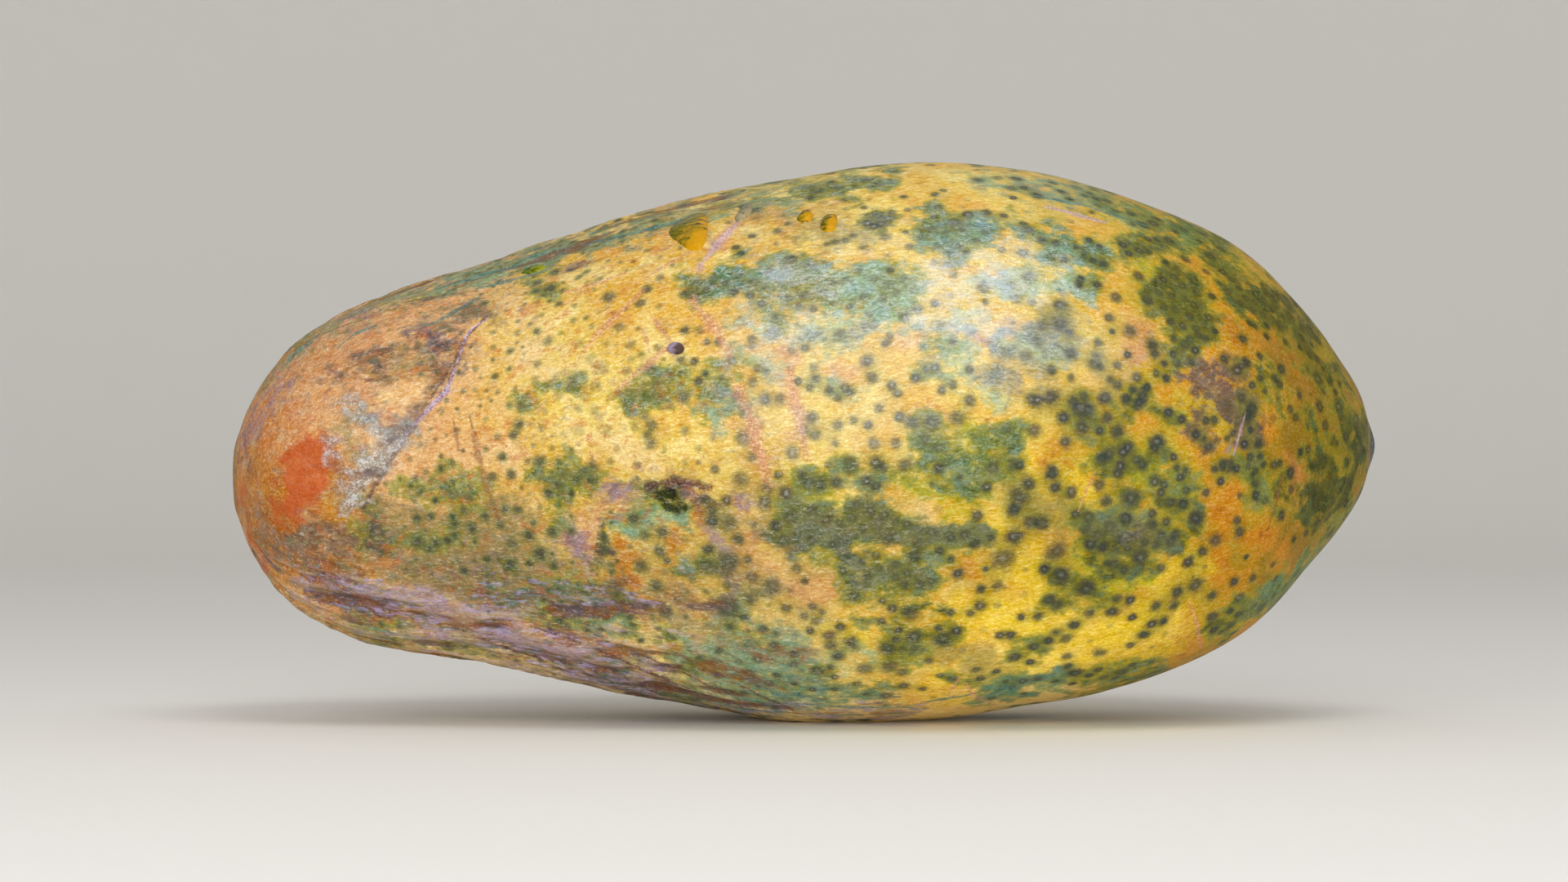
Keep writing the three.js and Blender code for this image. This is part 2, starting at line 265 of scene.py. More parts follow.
        (7, (421, 550), (424, 566)), (8, (408, 585), (428, 588)), (13, (398, 624), (436, 628)),
        (13, (330, 590), (340, 640)), (12, (345, 690), (372, 700)), (10, (306, 640), (322, 660)),
        (11, (298, 600), (306, 640)), (10, (316, 560), (330, 580)), (13, (352, 704), (400, 716)),
        (15, (755, 700), (785, 722)), (12, (762, 664), (775, 690)), (10, (830, 662), (833, 680)),
        (9, (845, 626), (860, 630)), (12, (1510, 645), (1540, 662)), (10, (1480, 620), (1500, 612)),
        (5, (478, 380), (500, 378)), (8, (1290, 560), (1300, 575)), (9, (1475, 660), (1500, 690)),
        (8, (1490, 400), (1510, 420)), (8, (1180, 690), (1200, 700)),
    ],
    "red": [
        (29, (382, 560), (376, 588)), (19, (362, 600), (352, 622)), (3, (292, 600), (298, 640), (322, 690)),
        (3, (1206, 410), (1210, 411)),
    ],
    "peach": [
        (40, (380, 480), (460, 430), (540, 400)), (22, (360, 540), (380, 500)),
        (13, (1015, 452), (1050, 450)), (13, (1100, 412), (1128, 412)), (12, (1190, 405), (1215, 420)),
        (12, (906, 660), (916, 690), (950, 712)), (10, (975, 715), (1020, 730)),
        (16, (700, 660), (745, 680)), (10, (745, 606), (780, 612)), (12, (1385, 400), (1400, 428)),
        (14, (560, 760), (640, 782), (700, 790)), (9, (400, 748), (470, 758), (560, 762)),
    ],
    "lilac": [
        (8, (395, 712), (440, 728), (500, 735)), (7, (500, 735), (560, 742), (620, 757)),
        (6, (578, 768), (640, 785), (700, 800)), (8, (672, 792), (740, 795)), (6, (720, 830), (790, 842)),
        (12, (868, 640), (890, 680), (896, 730)), (11, (896, 730), (888, 765), (880, 795)),
        (8, (450, 508), (500, 520)), (13, (690, 650), (716, 684)), (10, (740, 610), (778, 604)),
        (5, (788, 597), (806, 600)), (8, (845, 604), (860, 618)), (9, (900, 600), (912, 618)),
        (7, (1165, 405), (1180, 400)), (8, (425, 392), (446, 388)), (10, (515, 405), (545, 425)),
        (5, (296, 545), (312, 515), (350, 470)), (9, (1240, 400), (1300, 425)),
        (8, (1530, 500), (1515, 560)),
    ],
    "bruise": [
        (15, (1465, 455), (1500, 460)), (18, (1482, 480), (1520, 492)), (10, (1465, 515), (1475, 548)),
        (12, (1528, 505), (1532, 545)), (9, (1500, 440), (1520, 450)), (9, (506, 412), (550, 432)),
        (6, (540, 440), (552, 455)), (9, (690, 815), (770, 832), (820, 850)), (6, (400, 728), (470, 748)),
        (4, (405, 463), (439, 443), (474, 427)), (7, (1380, 655), (1410, 650)),
        (5, (806, 598), (822, 590), (842, 594)), (7, (846, 606), (856, 614)), (7, (455, 640), (474, 682)),
        (5, (736, 648), (740, 688)), (8, (884, 700), (896, 708)),
    ],
    "dusk": [
        (19, (330, 650), (380, 655), (430, 655)), (14, (330, 676), (390, 690)), (9, (300, 618), (318, 640)),
        (10, (400, 540), (420, 590)), (8, (300, 560), (312, 590)), (9, (470, 655), (500, 690)),
        (8, (560, 690), (640, 705)), (9, (545, 410), (585, 380)),
    ],
    "rose": [
        (11, (968, 444), (960, 482)), (5, (974, 498), (979, 530)), (5, (916, 512), (934, 566)),
        (7, (1204, 408), (1226, 424)), (8, (720, 640), (740, 636)), (7, (884, 610), (905, 630)),
        (5, (882, 294), (898, 276)), (9, (1590, 560), (1600, 620)),
    ],
    "scuff": [
        (17, (440, 592), (452, 570), (470, 556)), (15, (474, 548), (496, 538)),
        (10, (448, 518), (470, 528), (500, 530)), (6, (424, 484), (430, 500), (444, 514)),
        (6, (404, 540), (412, 556)), (6, (430, 616), (440, 620)),
    ],
}

# Thin lines on the same side: half the width in millimetres, then the path in pixels of the picture.
LINES = {
    "sea": [
        (0.7, (536, 393), (550, 386), (572, 373)), (0.8, (362, 433), (372, 424), (386, 414)),
        (1.0, (550, 349), (590, 337), (628, 327)), (0.8, (640, 318), (700, 303), (748, 292)),
        (0.5, (420, 420), (436, 408), (452, 402)), (0.7, (770, 287), (812, 276), (850, 266)),
        (0.6, (590, 352), (622, 344), (660, 334)), (0.6, (980, 862), (1040, 866), (1100, 866)),
        (0.5, (870, 858), (910, 868), (950, 872)), (0.5, (1130, 860), (1180, 852)),
        (0.7, (1270, 240), (1330, 252), (1390, 272)), (0.5, (446, 766), (480, 776), (520, 782)),
    ],
    "pink": [
        (0.5, (785, 343), (812, 327), (840, 312)), (0.6, (700, 356), (726, 349), (755, 338)),
        (0.8, (716, 427), (736, 404), (778, 365)), (0.5, (801, 391), (810, 404), (820, 416)),
        (0.4, (786, 401), (791, 414), (794, 427)), (0.9, (775, 461), (790, 450), (804, 437)),
        (1.1, (859, 382), (870, 396), (880, 411)), (1.2, (970, 470), (977, 508), (982, 531)),
        (1.4, (915, 505), (924, 530), (932, 560)), (0.4, (1458, 740), (1466, 765), (1470, 790)),
        (0.4, (1162, 850), (1172, 834)), (0.5, (1184, 838), (1192, 852), (1215, 862)),
        (0.3, (1340, 580), (1330, 600), (1322, 622)),
    ],
    "rust": [
        (0.7, (577, 518), (583, 545), (594, 590), (606, 625)), (0.5, (556, 518), (560, 540)),
        (0.6, (1555, 640), (1566, 600)), (0.5, (640, 745), (700, 775), (760, 800)),
        (0.5, (380, 700), (440, 735), (520, 752)), (0.5, (407, 463), (436, 446), (474, 429)),
        (0.4, (455, 450), (478, 438), (492, 434)),
    ],
    "furrow": [
        (0.5, (592, 391), (580, 404), (566, 420), (556, 445), (550, 462)),
        (0.7, (514, 513), (500, 530), (480, 560), (462, 590), (450, 612)),
        (0.4, (556, 440), (545, 462), (532, 480)), (0.5, (660, 770), (720, 790), (800, 826), (860, 850)),
        (0.5, (905, 838), (930, 852), (965, 866)), (0.4, (780, 800), (830, 820), (880, 846)),
        (0.4, (560, 770), (610, 790), (660, 806)), (0.9, (810, 592), (826, 589), (842, 592)),
    ],
    "white": [
        (0.8, (1297, 257), (1312, 261), (1329, 266)), (1.1, (864, 317), (880, 297), (898, 278)),
        (0.3, (1524, 510), (1518, 530), (1512, 552)), (0.5, (538, 486), (520, 505), (508, 520)),
    ],
    "crease": [
        (0.4, (592, 393), (578, 402), (571, 412), (560, 442)),
        (0.75, (553, 463), (546, 479), (530, 495), (512, 514)), (0.4, (512, 514), (500, 528), (492, 542)),
    ],
}

# The levels of a patch fall from 1 to 0 over twice this width, on the seen side and on the others.
EDGE_PX = 15
EDGE_MM = 3.0
SOFT_KINDS = {  # how many times softer than the others
    "pit": 0.35,
    "red": 0.7,
    # the painted sheen and its painted haze have the softest edges
    "painted_sheen": 2.4,
    "painted_haze": 3.5,
    "dull": 2.5,
    "gold": 2.2,
    "lime": 1.3,
    "streaky": 1.5,
    "flecked": 2.0,
}

# Random patches on the rest of the fruit: how many, their half widths in millimetres, from and to, and the
# part of the fruit in which they start, in millimetres along it.
HIDDEN_PATCHES = {
    "dull": (16, 4.0, 8.0, 15, 150),
    # painted sheen, a highlight painted into the colour
    "painted_sheen": (4, 2.5, 5.0, 60, 230),
    "cream": (16, 2.5, 5.0, 40, 250),
    "olive": (16, 3.0, 6.0, 20, 180),
    "streaky": (14, 2.0, 5.0, 12, 150),
    "flecked": (30, 3.0, 7.0, 15, 265),
    "gold": (8, 3.0, 6.0, 120, 250),
    "lime": (24, 1.5, 3.0, 60, 272),
    "tan": (6, 2.0, 4.0, 20, 200),
    "umber": (8, 1.5, 3.5, 8, 110),
    "dusk": (14, 1.5, 3.5, 6, 150),
    # painted haze, a faint sheen painted into the colour
    "painted_haze": (3, 6.0, 10.0, 60, 220),
    "rose": (12, 1.0, 2.5, 20, 260),
    "green": (60, 1.5, 5.0, 30, 272),
    "haze": (8, 1.5, 3.5, 60, 220),
    "teal": (20, 1.5, 3.5, 20, 268),
    "dark": (34, 1.5, 3.8, 120, 274),
    "grey": (14, 1.5, 4.0, 20, 230),
    "orange": (14, 2.0, 4.0, 5, 260),
    "red": (1, 1.5, 3.0, 5, 60),
    "peach": (16, 3.0, 7.0, 8, 200),
    "lilac": (9, 1.2, 3.0, 10, 120),
    "bruise": (10, 1.5, 3.5, 15, 260),
    "scuff": (4, 1.0, 2.5, 10, 120),
}
HIDDEN_AROUND = (172, 368)  # degrees
HIDDEN_STEP = (14, 9)  # how far a path goes at most from place to place: millimetres along, degrees around
HIDDEN_MARGIN = 6  # how near to the ends a path goes

# Where the seen side's patches give way to the others: how much the skin faces the camera, with a wobble.
SEAM = (-0.22, 0.02)
SEAM_WOBBLE = 0.09
SEAM_RIPPLES = (24, 91)  # wavelength and seed
HIDDEN_SEAM = (0.12, -0.02)  # where the others begin, as a share of the same

# How far the outlines of the patches wander, in millimetres, and over what distance.
WANDER = [(1.6, 9.0), (0.9, 4.0)]
WANDER_SEED = 50

# Specks that show in the picture, as they were read in enlarged views of it: for each view its left
# and top side in the picture and its scale, then places and radii in the view's own pixels.
SPECK_VIEWS = {
    (820, 230, 2.958): [
        (630, 44, 16), (705, 70, 16), (845, 33, 14), (960, 25, 14), (990, 8, 12), (970, 67, 14),
        (860, 80, 12), (805, 88, 14), (1148, 88, 16), (1210, 100, 14), (1245, 35, 12), (1530, 90, 12),
        (1450, 40, 14), (425, 130, 12), (390, 156, 15), (300, 176, 14), (240, 215, 15), (715, 128, 20),
        (765, 130, 20), (780, 178, 18), (740, 140, 16), (700, 215, 15), (665, 175, 16), (640, 190, 16),
        (600, 195, 14), (570, 205, 12), (870, 213, 14), (855, 160, 12), (1200, 225, 16), (1280, 237, 18),
        (1075, 235, 14), (960, 268, 16), (1005, 278, 18), (1028, 315, 14), (960, 422, 16), (985, 495, 14),
        (1140, 360, 24), (1145, 415, 12), (1255, 400, 18), (1310, 413, 14), (1300, 325, 20),
        (1415, 425, 22), (1415, 490, 26), (1445, 525, 16), (1350, 500, 20), (1455, 600, 24),
        (1455, 690, 16), (1330, 770, 18), (1385, 760, 26), (1500, 755, 14), (1490, 800, 30),
        (1490, 870, 24), (1435, 920, 20), (1425, 835, 18), (1540, 640, 20), (1320, 880, 22),
        (1560, 880, 16), (55, 515, 16), (50, 385, 14), (95, 345, 14), (375, 530, 20), (300, 548, 15),
        (300, 575, 12), (135, 560, 12), (175, 560, 12), (320, 655, 15), (350, 665, 12), (300, 705, 18),
        (400, 765, 22), (345, 765, 20), (270, 820, 16), (265, 905, 20), (40, 620, 12), (130, 670, 14),
        (190, 690, 12), (50, 760, 18), (240, 755, 14), (105, 700, 16), (90, 630, 16), (225, 625, 14),
        (520, 650, 14), (530, 690, 14), (505, 725, 14), (465, 700, 14), (440, 590, 14), (490, 580, 16),
        (715, 628, 20), (735, 690, 22), (655, 740, 16), (635, 725, 14), (610, 760, 16), (580, 735, 14),
        (825, 745, 16), (805, 712, 14), (780, 565, 16), (800, 535, 12), (760, 800, 18), (605, 860, 20),
        (665, 840, 16), (515, 830, 20), (490, 880, 16), (530, 895, 18), (600, 925, 16), (740, 925, 20),
        (820, 925, 18), (880, 850, 20), (830, 828, 14), (720, 860, 14), (890, 690, 14), (925, 660, 12),
        (960, 650, 14), (1025, 715, 16), (985, 735, 14), (1045, 835, 24), (1085, 770, 20), (1085, 660, 14),
        (1380, 660, 14), (160, 325, 12), (200, 345, 14), (250, 320, 13), (130, 370, 13), (230, 380, 15),
        (290, 390, 14), (340, 360, 15), (390, 330, 14), (330, 420, 14), (430, 400, 14), (470, 430, 14),
        (520, 440, 14), (440, 345, 13), (560, 380, 14), (600, 350, 14), (640, 330, 13), (690, 300, 14),
        (740, 330, 14), (800, 300, 14), (850, 330, 14), (880, 370, 14), (820, 380, 14), (770, 400, 14),
        (700, 390, 14), (650, 430, 13), (590, 420, 13), (900, 440, 14), (850, 470, 14), (720, 455, 13),
        (910, 180, 13), (950, 150, 14), (1000, 160, 14), (1060, 150, 14), (1110, 190, 14), (1140, 160, 13),
        (1040, 210, 14), (970, 210, 13), (1300, 150, 14), (1350, 190, 14), (1400, 200, 14), (1380, 250, 14),
        (1430, 260, 14), (1470, 220, 13), (1500, 250, 13), (1280, 130, 12),
    ],
    (1250, 250, 3.484): [
        (290, 155, 18), (335, 180, 14), (350, 255, 26), (270, 205, 16), (310, 240, 18), (255, 320, 18),
        (325, 345, 22), (245, 345, 16), (500, 310, 26), (405, 397, 20), (540, 410, 26), (465, 540, 28),
        (375, 483, 16), (390, 545, 14), (330, 590, 16), (320, 650, 20), (340, 695, 18), (410, 685, 16),
        (455, 640, 14), (560, 600, 24), (570, 640, 20), (380, 750, 18), (415, 770, 22), (495, 740, 16),
        (360, 825, 28), (225, 840, 26), (290, 880, 28), (45, 828, 20), (370, 915, 26), (410, 970, 28),
        (475, 790, 18), (450, 830, 20), (500, 850, 26), (520, 820, 22), (535, 780, 16), (130, 1145, 28),
        (145, 1210, 26), (30, 1190, 24), (215, 1230, 20), (335, 1200, 22), (455, 1035, 26), (435, 1055, 20),
        (375, 1065, 24), (345, 1085, 26), (425, 1120, 26), (410, 1150, 22), (490, 1090, 18),
        (520, 1110, 24), (585, 1015, 28), (570, 1040, 18), (630, 890, 20), (620, 745, 16), (650, 1080, 16),
        (665, 1125, 16), (705, 1140, 22), (680, 1165, 18), (570, 1185, 20), (610, 1200, 16), (790, 288, 16),
        (815, 395, 16), (615, 248, 16), (700, 235, 22), (855, 190, 16), (535, 200, 18), (505, 200, 16),
        (460, 210, 18), (435, 175, 16), (630, 155, 18), (580, 150, 18), (545, 150, 16), (660, 115, 16),
        (800, 485, 22), (830, 545, 18), (790, 570, 18), (760, 560, 18), (745, 625, 18), (720, 580, 16),
        (948, 575, 22), (980, 510, 18), (1000, 520, 14), (1050, 520, 16), (1100, 515, 18), (1050, 565, 18),
        (1130, 585, 16), (1020, 648, 16), (960, 675, 20), (865, 658, 20), (925, 710, 22), (940, 690, 14),
        (1110, 705, 26), (1085, 745, 18), (1105, 770, 18), (1022, 742, 16), (985, 772, 16), (1040, 798, 14),
        (1187, 808, 22), (1150, 875, 18), (1175, 910, 16), (1290, 798, 18), (1340, 800, 14),
        (1275, 860, 20), (1300, 945, 20), (945, 825, 20), (985, 870, 30), (970, 905, 24), (745, 985, 18),
        (780, 1000, 14), (790, 925, 18), (825, 920, 16), (905, 975, 16), (800, 1035, 22), (955, 1020, 22),
        (1015, 1022, 20), (880, 1000, 14), (980, 965, 14), (980, 1080, 18), (1020, 1075, 16),
        (1035, 1110, 14), (1080, 1110, 18), (1105, 1105, 14), (1148, 1147, 28), (1153, 1215, 16),
        (1190, 1055, 16), (1225, 1050, 18), (895, 1120, 24), (860, 1115, 22), (920, 1130, 18),
        (935, 1245, 14), (1005, 1240, 24), (1000, 1190, 18), (985, 1160, 14), (790, 1230, 18),
        (705, 1220, 18), (610, 320, 18), (650, 310, 18), (690, 350, 18), (590, 380, 18), (640, 390, 18),
        (700, 400, 18), (740, 430, 18), (610, 440, 18), (660, 450, 18), (720, 480, 18), (640, 500, 18),
        (690, 520, 18), (750, 530, 16), (650, 570, 18), (700, 600, 16), (650, 640, 18), (610, 680, 16),
        (670, 680, 16), (580, 720, 16), (860, 290, 16), (900, 320, 18), (930, 360, 18), (890, 370, 18),
        (960, 400, 18), (1000, 420, 18), (1040, 410, 18), (1080, 430, 18), (940, 420, 16), (1030, 470, 16),
        (1120, 480, 16), (1200, 570, 16), (1190, 610, 16), (1230, 640, 16), (1260, 660, 16),
        (1290, 700, 14), (1240, 600, 14), (1400, 930, 14), (1350, 1020, 14),
    ],
    (860, 540, 2.958): [
        (45, 105, 16), (180, 60, 14), (325, 38, 20), (630, 78, 22), (655, 95, 16), (730, 85, 24),
        (595, 145, 18), (630, 165, 18), (485, 150, 20), (455, 85, 12), (535, 85, 28), (360, 130, 18),
        (385, 150, 22), (430, 160, 18), (275, 125, 14), (235, 170, 22), (305, 188, 24), (225, 225, 24),
        (140, 138, 24), (10, 210, 16), (35, 250, 18), (90, 215, 16), (100, 295, 30), (35, 290, 22),
        (130, 355, 18), (20, 390, 18), (10, 450, 26), (95, 440, 34), (165, 430, 16), (180, 495, 24),
        (250, 525, 28), (340, 460, 18), (370, 505, 16), (175, 572, 26), (85, 600, 40), (305, 605, 18),
        (400, 597, 16), (435, 620, 16), (370, 632, 14), (415, 650, 18), (500, 670, 18), (390, 690, 14),
        (455, 705, 18), (545, 728, 26), (490, 778, 24), (465, 740, 20), (415, 830, 24), (465, 820, 14),
        (480, 855, 16), (590, 825, 26), (675, 815, 26), (725, 838, 20), (670, 750, 30), (700, 718, 16),
        (765, 752, 16), (725, 750, 12), (770, 710, 26), (870, 718, 30), (855, 678, 16), (920, 685, 22),
        (710, 685, 14), (650, 650, 18), (690, 605, 18), (755, 625, 26), (650, 580, 14), (900, 622, 16),
        (970, 625, 16), (1005, 594, 20), (925, 483, 22), (1025, 463, 12), (1070, 525, 22), (1010, 535, 16),
        (1080, 705, 16), (1115, 705, 18), (820, 797, 18), (990, 828, 18), (1005, 862, 18), (1065, 833, 16),
        (860, 850, 16), (905, 860, 20), (800, 900, 18), (730, 888, 22), (665, 922, 24), (995, 270, 20),
        (985, 370, 20), (1145, 205, 28), (1130, 245, 24), (1190, 297, 20), (1230, 297, 24), (1130, 345, 26),
        (1090, 430, 34), (1045, 350, 14), (1120, 90, 18), (1150, 90, 14), (1395, 275, 20), (1465, 215, 20),
        (1280, 400, 32), (1240, 465, 20), (1300, 485, 30), (1255, 575, 22), (1285, 595, 20),
        (1390, 535, 26), (1215, 635, 20), (1155, 640, 14), (1350, 665, 22), (1405, 620, 20),
        (1485, 617, 20), (1500, 572, 18), (1550, 577, 18), (1280, 695, 20), (1255, 722, 22),
        (1320, 717, 18), (1200, 745, 22), (1130, 785, 24), (1185, 803, 16), (1320, 782, 18),
        (1325, 815, 18), (1350, 840, 26), (1440, 765, 20), (1550, 740, 18), (1555, 640, 16), (560, 230, 18),
        (610, 250, 20), (660, 270, 18), (640, 300, 20), (700, 290, 18), (740, 300, 16), (540, 280, 16),
        (580, 320, 18), (780, 370, 20), (770, 420, 20), (830, 330, 18), (900, 350, 18), (950, 340, 18),
        (860, 400, 18), (900, 430, 16), (735, 520, 20), (700, 490, 18), (790, 520, 18), (830, 510, 16),
        (740, 480, 16), (630, 415, 16), (700, 450, 16), (640, 460, 16), (550, 560, 20), (510, 470, 14),
        (150, 640, 16), (220, 680, 18), (260, 740, 18), (330, 770, 18), (330, 810, 18), (200, 790, 18),
        (130, 800, 16), (270, 850, 16), (200, 890, 16), (60, 850, 14), (150, 910, 14), (330, 880, 14),
        (400, 900, 14), (480, 900, 14), (560, 880, 16), (60, 760, 16), (100, 670, 18), (1100, 870, 14),
        (1160, 870, 14), (1220, 860, 14), (1280, 870, 14), (1340, 880, 14), (1400, 850, 14),
    ],
    (1250, 560, 3.484): [
        (235, 245, 18), (575, 635, 24), (655, 632, 22), (665, 575, 26), (745, 545, 36), (715, 445, 26),
        (775, 400, 20), (830, 352, 24), (935, 320, 22), (925, 270, 18), (1110, 248, 26), (1215, 325, 18),
        (1165, 352, 18), (910, 530, 22), (990, 515, 20), (820, 590, 20), (895, 655, 20), (820, 680, 28),
        (855, 745, 18), (825, 735, 20), (930, 670, 22), (560, 712, 22), (605, 700, 22), (525, 755, 24),
        (330, 905, 18), (475, 885, 18), (600, 475, 20), (510, 425, 34), (455, 385, 14), (750, 260, 36),
        (470, 175, 34), (960, 425, 14), (1075, 455, 14), (1210, 220, 14), (280, 300, 24), (330, 330, 24),
        (380, 300, 22), (300, 370, 24), (350, 380, 24), (560, 290, 22), (600, 330, 22), (640, 360, 24),
        (580, 370, 22), (530, 360, 20), (660, 330, 20), (620, 280, 20), (400, 460, 22), (440, 480, 18),
        (370, 450, 16), (560, 240, 18), (600, 150, 18), (640, 190, 20), (690, 200, 20), (850, 100, 16),
        (830, 50, 16), (1000, 60, 16), (970, 40, 14),
    ],
    (290, 300, 2.958): [
        (1150, 98, 16), (1265, 98, 12), (1235, 118, 12), (1090, 135, 14), (1085, 165, 14), (1135, 158, 20),
        (1345, 190, 18), (1460, 210, 14), (1485, 160, 14), (1165, 212, 12), (1085, 315, 12),
        (1128, 350, 14), (990, 385, 12), (935, 475, 12), (1242, 355, 14), (1340, 357, 12), (1385, 300, 16),
        (1280, 405, 14), (1320, 445, 18), (1425, 360, 14), (1430, 410, 12), (1465, 395, 12),
        (1410, 455, 14), (1090, 430, 12), (1080, 490, 12), (1155, 480, 12), (1165, 540, 14),
        (1220, 490, 14), (1300, 513, 14), (1420, 520, 14), (1415, 580, 14), (1470, 500, 12),
        (1530, 555, 16), (1480, 620, 14), (1440, 658, 14), (1505, 655, 14), (1485, 690, 12),
        (1500, 720, 14), (1340, 670, 16), (1300, 598, 16), (1240, 595, 12), (1237, 670, 16),
        (1100, 663, 12), (1020, 655, 14), (1000, 690, 12), (1030, 580, 16), (1210, 745, 12), (960, 770, 12),
        (925, 840, 12), (995, 830, 14), (1100, 785, 14), (1290, 805, 14), (665, 890, 14), (900, 210, 12),
        (1190, 460, 12), (1250, 470, 12), (1120, 510, 12), (1200, 520, 12), (1130, 900, 14),
        (1180, 830, 14), (1230, 850, 14), (1160, 870, 14), (1210, 900, 12), (1280, 850, 12),
        (1440, 540, 14), (1500, 540, 14), (1520, 500, 14), (1470, 560, 12),
    ],
    (280, 560, 2.851): [
        (660, 215, 12), (705, 205, 12), (780, 208, 12), (820, 185, 12), (895, 208, 10), (950, 238, 12),
        (1010, 185, 10), (965, 180, 12), (850, 245, 16), (790, 235, 14), (790, 275, 12), (765, 292, 12),
        (1045, 270, 16), (990, 298, 16), (1130, 262, 16), (1195, 257, 14), (1085, 335, 20), (1050, 370, 12),
        (985, 370, 16), (975, 382, 14), (900, 357, 12), (905, 412, 12), (1135, 375, 10), (820, 395, 12),
        (725, 300, 14), (700, 320, 12), (660, 295, 20), (1415, 215, 16), (1455, 273, 16), (1515, 262, 16),
        (1505, 328, 18), (1530, 362, 12), (1440, 378, 20), (1495, 450, 20), (1380, 505, 16),
        (1320, 555, 14), (1155, 570, 14), (1180, 590, 12), (1525, 540, 24), (1220, 525, 12), (720, 150, 10),
        (780, 130, 10), (840, 140, 10), (740, 40, 10), (1100, 500, 10), (1150, 460, 10), (1240, 470, 10),
        (1280, 510, 10), (1350, 480, 10), (1400, 560, 12), (1460, 520, 12), (1300, 600, 10),
        (1380, 610, 12), (1440, 640, 12), (1500, 600, 12),
    ],
}
SPECK_ROW = 40  # they are placed from the smallest up, and in rows as high as this
CALM_PLACES = [(724, 480, 105), (373, 582, 80)]  # where the specks are faint: pixels and a radius
CALM_LOSS = 0.55
SEEN_SPECK_SEED = 4
FAINTER_PX = (700, 950)  # from left to right, the specks grow a little fainter here
DARKER_PX = (1000, 1350)  # and darker and larger here
PX_PER_MM = round(-FOCAL_PX / CAMERA[1], 3)  # in the plane of the fruit's outline

# Random specks elsewhere: how many are tried, and their spacing and radii, on the neck and on the belly.
SPECK_TRIES = 14000
SPECK_SPACING = (2.6, 4.6)
SPECK_RADIUS = (0.65, 1.45)
SPECK_SEED = 5
SPECKED_BELLY = (70, 150)  # where the neck's specks turn into the belly's, in millimetres along the fruit
FAINT_FROM = (15, 60)  # where the faint ones begin
CROWDED_KINDS = ("green", "teal", "dark", "grey")  # patches in which the specks are closer
HALO_REACH = 2.0  # in radii of the speck
HALO_MOST = 1.5

# Lines are cast in this many pieces for each step of their path, and reach this many half widths.
LINE_PIECES = 5
LINE_REACH = 8
LINE_TAPER = (0.06, 0.94, 0.6)  # the part of half a wave that a line's width follows, and its power

# Drops of dried sap and a knob, stuck on the skin: what it is, its height in millimetres and its outline.
BLOBS = {
    "sap_drop_a": (
        "sap",
        1.3,
        [(813, 285), (832, 270), (849, 261), (866, 259), (868, 279), (865, 298), (856, 309), (840, 306)],
    ),
    "sap_drop_b": ("sap", 1.1, [(974, 269), (981, 260), (991, 256), (997, 263), (994, 271), (982, 274)]),
    "sap_drop_c": (
        "sap",
        1.1,
        [(1006, 267), (1015, 262), (1025, 262), (1026, 272), (1023, 282), (1013, 286), (1003, 281)],
    ),
    "sap_drop_d": (
        "clear",
        0.8,
        [(898, 268), (905, 257), (914, 248), (922, 249), (921, 260), (911, 271), (902, 274)],
    ),
    "sap_drop_e": (
        "green",
        0.6,
        [(636, 335), (643, 328), (655, 324), (667, 323), (670, 328), (659, 333), (647, 337)],
    ),
    "knob": (
        "knob",
        1.5,
        [(815, 428), (819, 422), (827, 418), (835, 420), (839, 427), (836, 433), (828, 435), (820, 433)],
    ),
}
GUMS = {  # the main colour, a second one for its clouds and its upper-left side, where it is painted shade on the drops and a painted highlight on the knob, and the gloss
    "sap": ("dried_sap", "CC9404", "706A00", 1.0),
    "clear": ("clear_sap", "A89870", "706C58", 1.0),
    "green": ("green_sap", "9A9A14", "5C6C14", 1.0),
    "knob": ("knob", "54403C", "9C8CA0", 0.2),
}
BLOB_SIDES = 48
BLOB_RINGS = 10
BLOB_SINK = 0.25  # how deep the edge lies under the skin
BLOB_CROWN = (2.6, 0.55)  # powers of its profile
BLOB_SMOOTHING = (-2, -1, 0, 1, 2)  # each place on its edge is the mean of these neighbours
BLOB_PAINTED_LIGHT_WAY = (0.7, 0.7)  # across and down the picture: the side against it takes the second colour, as painted shade on the drops and a painted highlight on the knob

# Fine relief: its height and wavelength in millimetres, its seed and how it is stretched along the fruit.
WRINKLE_RADIUS = 60.0  # how wide the fruit is taken to be where wrinkles are laid along it
WRINKLE_BEND = 2.0
WRINKLE_BEND_RIPPLES = [(22, 61), (22, 62), (22, 63)]  # wavelength and seed, for each axis
FOLD_WRINKLE_HEIGHT = 0.42
FOLD_WRINKLES = (9.0, 14, (6, 1, 1))
FINE_WRINKLE_HEIGHTS = (0.03, 0.13)  # everywhere, and more of it on the neck
FINE_WRINKLES = (4.0, 11, (5, 1, 1))
WAVES = [(0.22, 34, 12, (1, 1, 1)), (0.08, 12, 13, (1.6, 1, 1))]
NECK_LUMPS = (0.16, 8, 15, (1.5, 1, 1))
FOLD_CREST = 0.4  # how strongly the folds are coloured as wrinkles are
# Where the relief fades: in millimetres along the fruit, or from its ends, and how far up, from -1 to 1.
WRINKLED_NECK = (90, 165)
WRINKLED_LOW = (-0.35, -0.75)
WRINKLED_HIGH = (0.80, 0.97)
WRINKLED_ENDS = (-2, 16)
LUMPY_NECK = (80, 150)
RELIEF_ENDS = (-6, 16)

# The stage is a round dish.
STAGE = dict(floor_radius=1500, curve=600, wall_top=2200, sides=96, bends=12)

# The lights: place and size, in metres, and power. They all aim at the middle of the fruit.
LIGHT_AIM = (0.0, 0.0, 0.07)
LIGHTS = {
    "key": ((-0.3, -1.2, 0.5), (1.1, 0.9), 6.6),
    "low": ((0.45, -1.2, 0.12), (0.9, 0.25), 4.2),
    "top": ((0.14, -0.42, 0.95), (0.45, 0.4), 2.2),
}
SKY_STRENGTH = 0.5


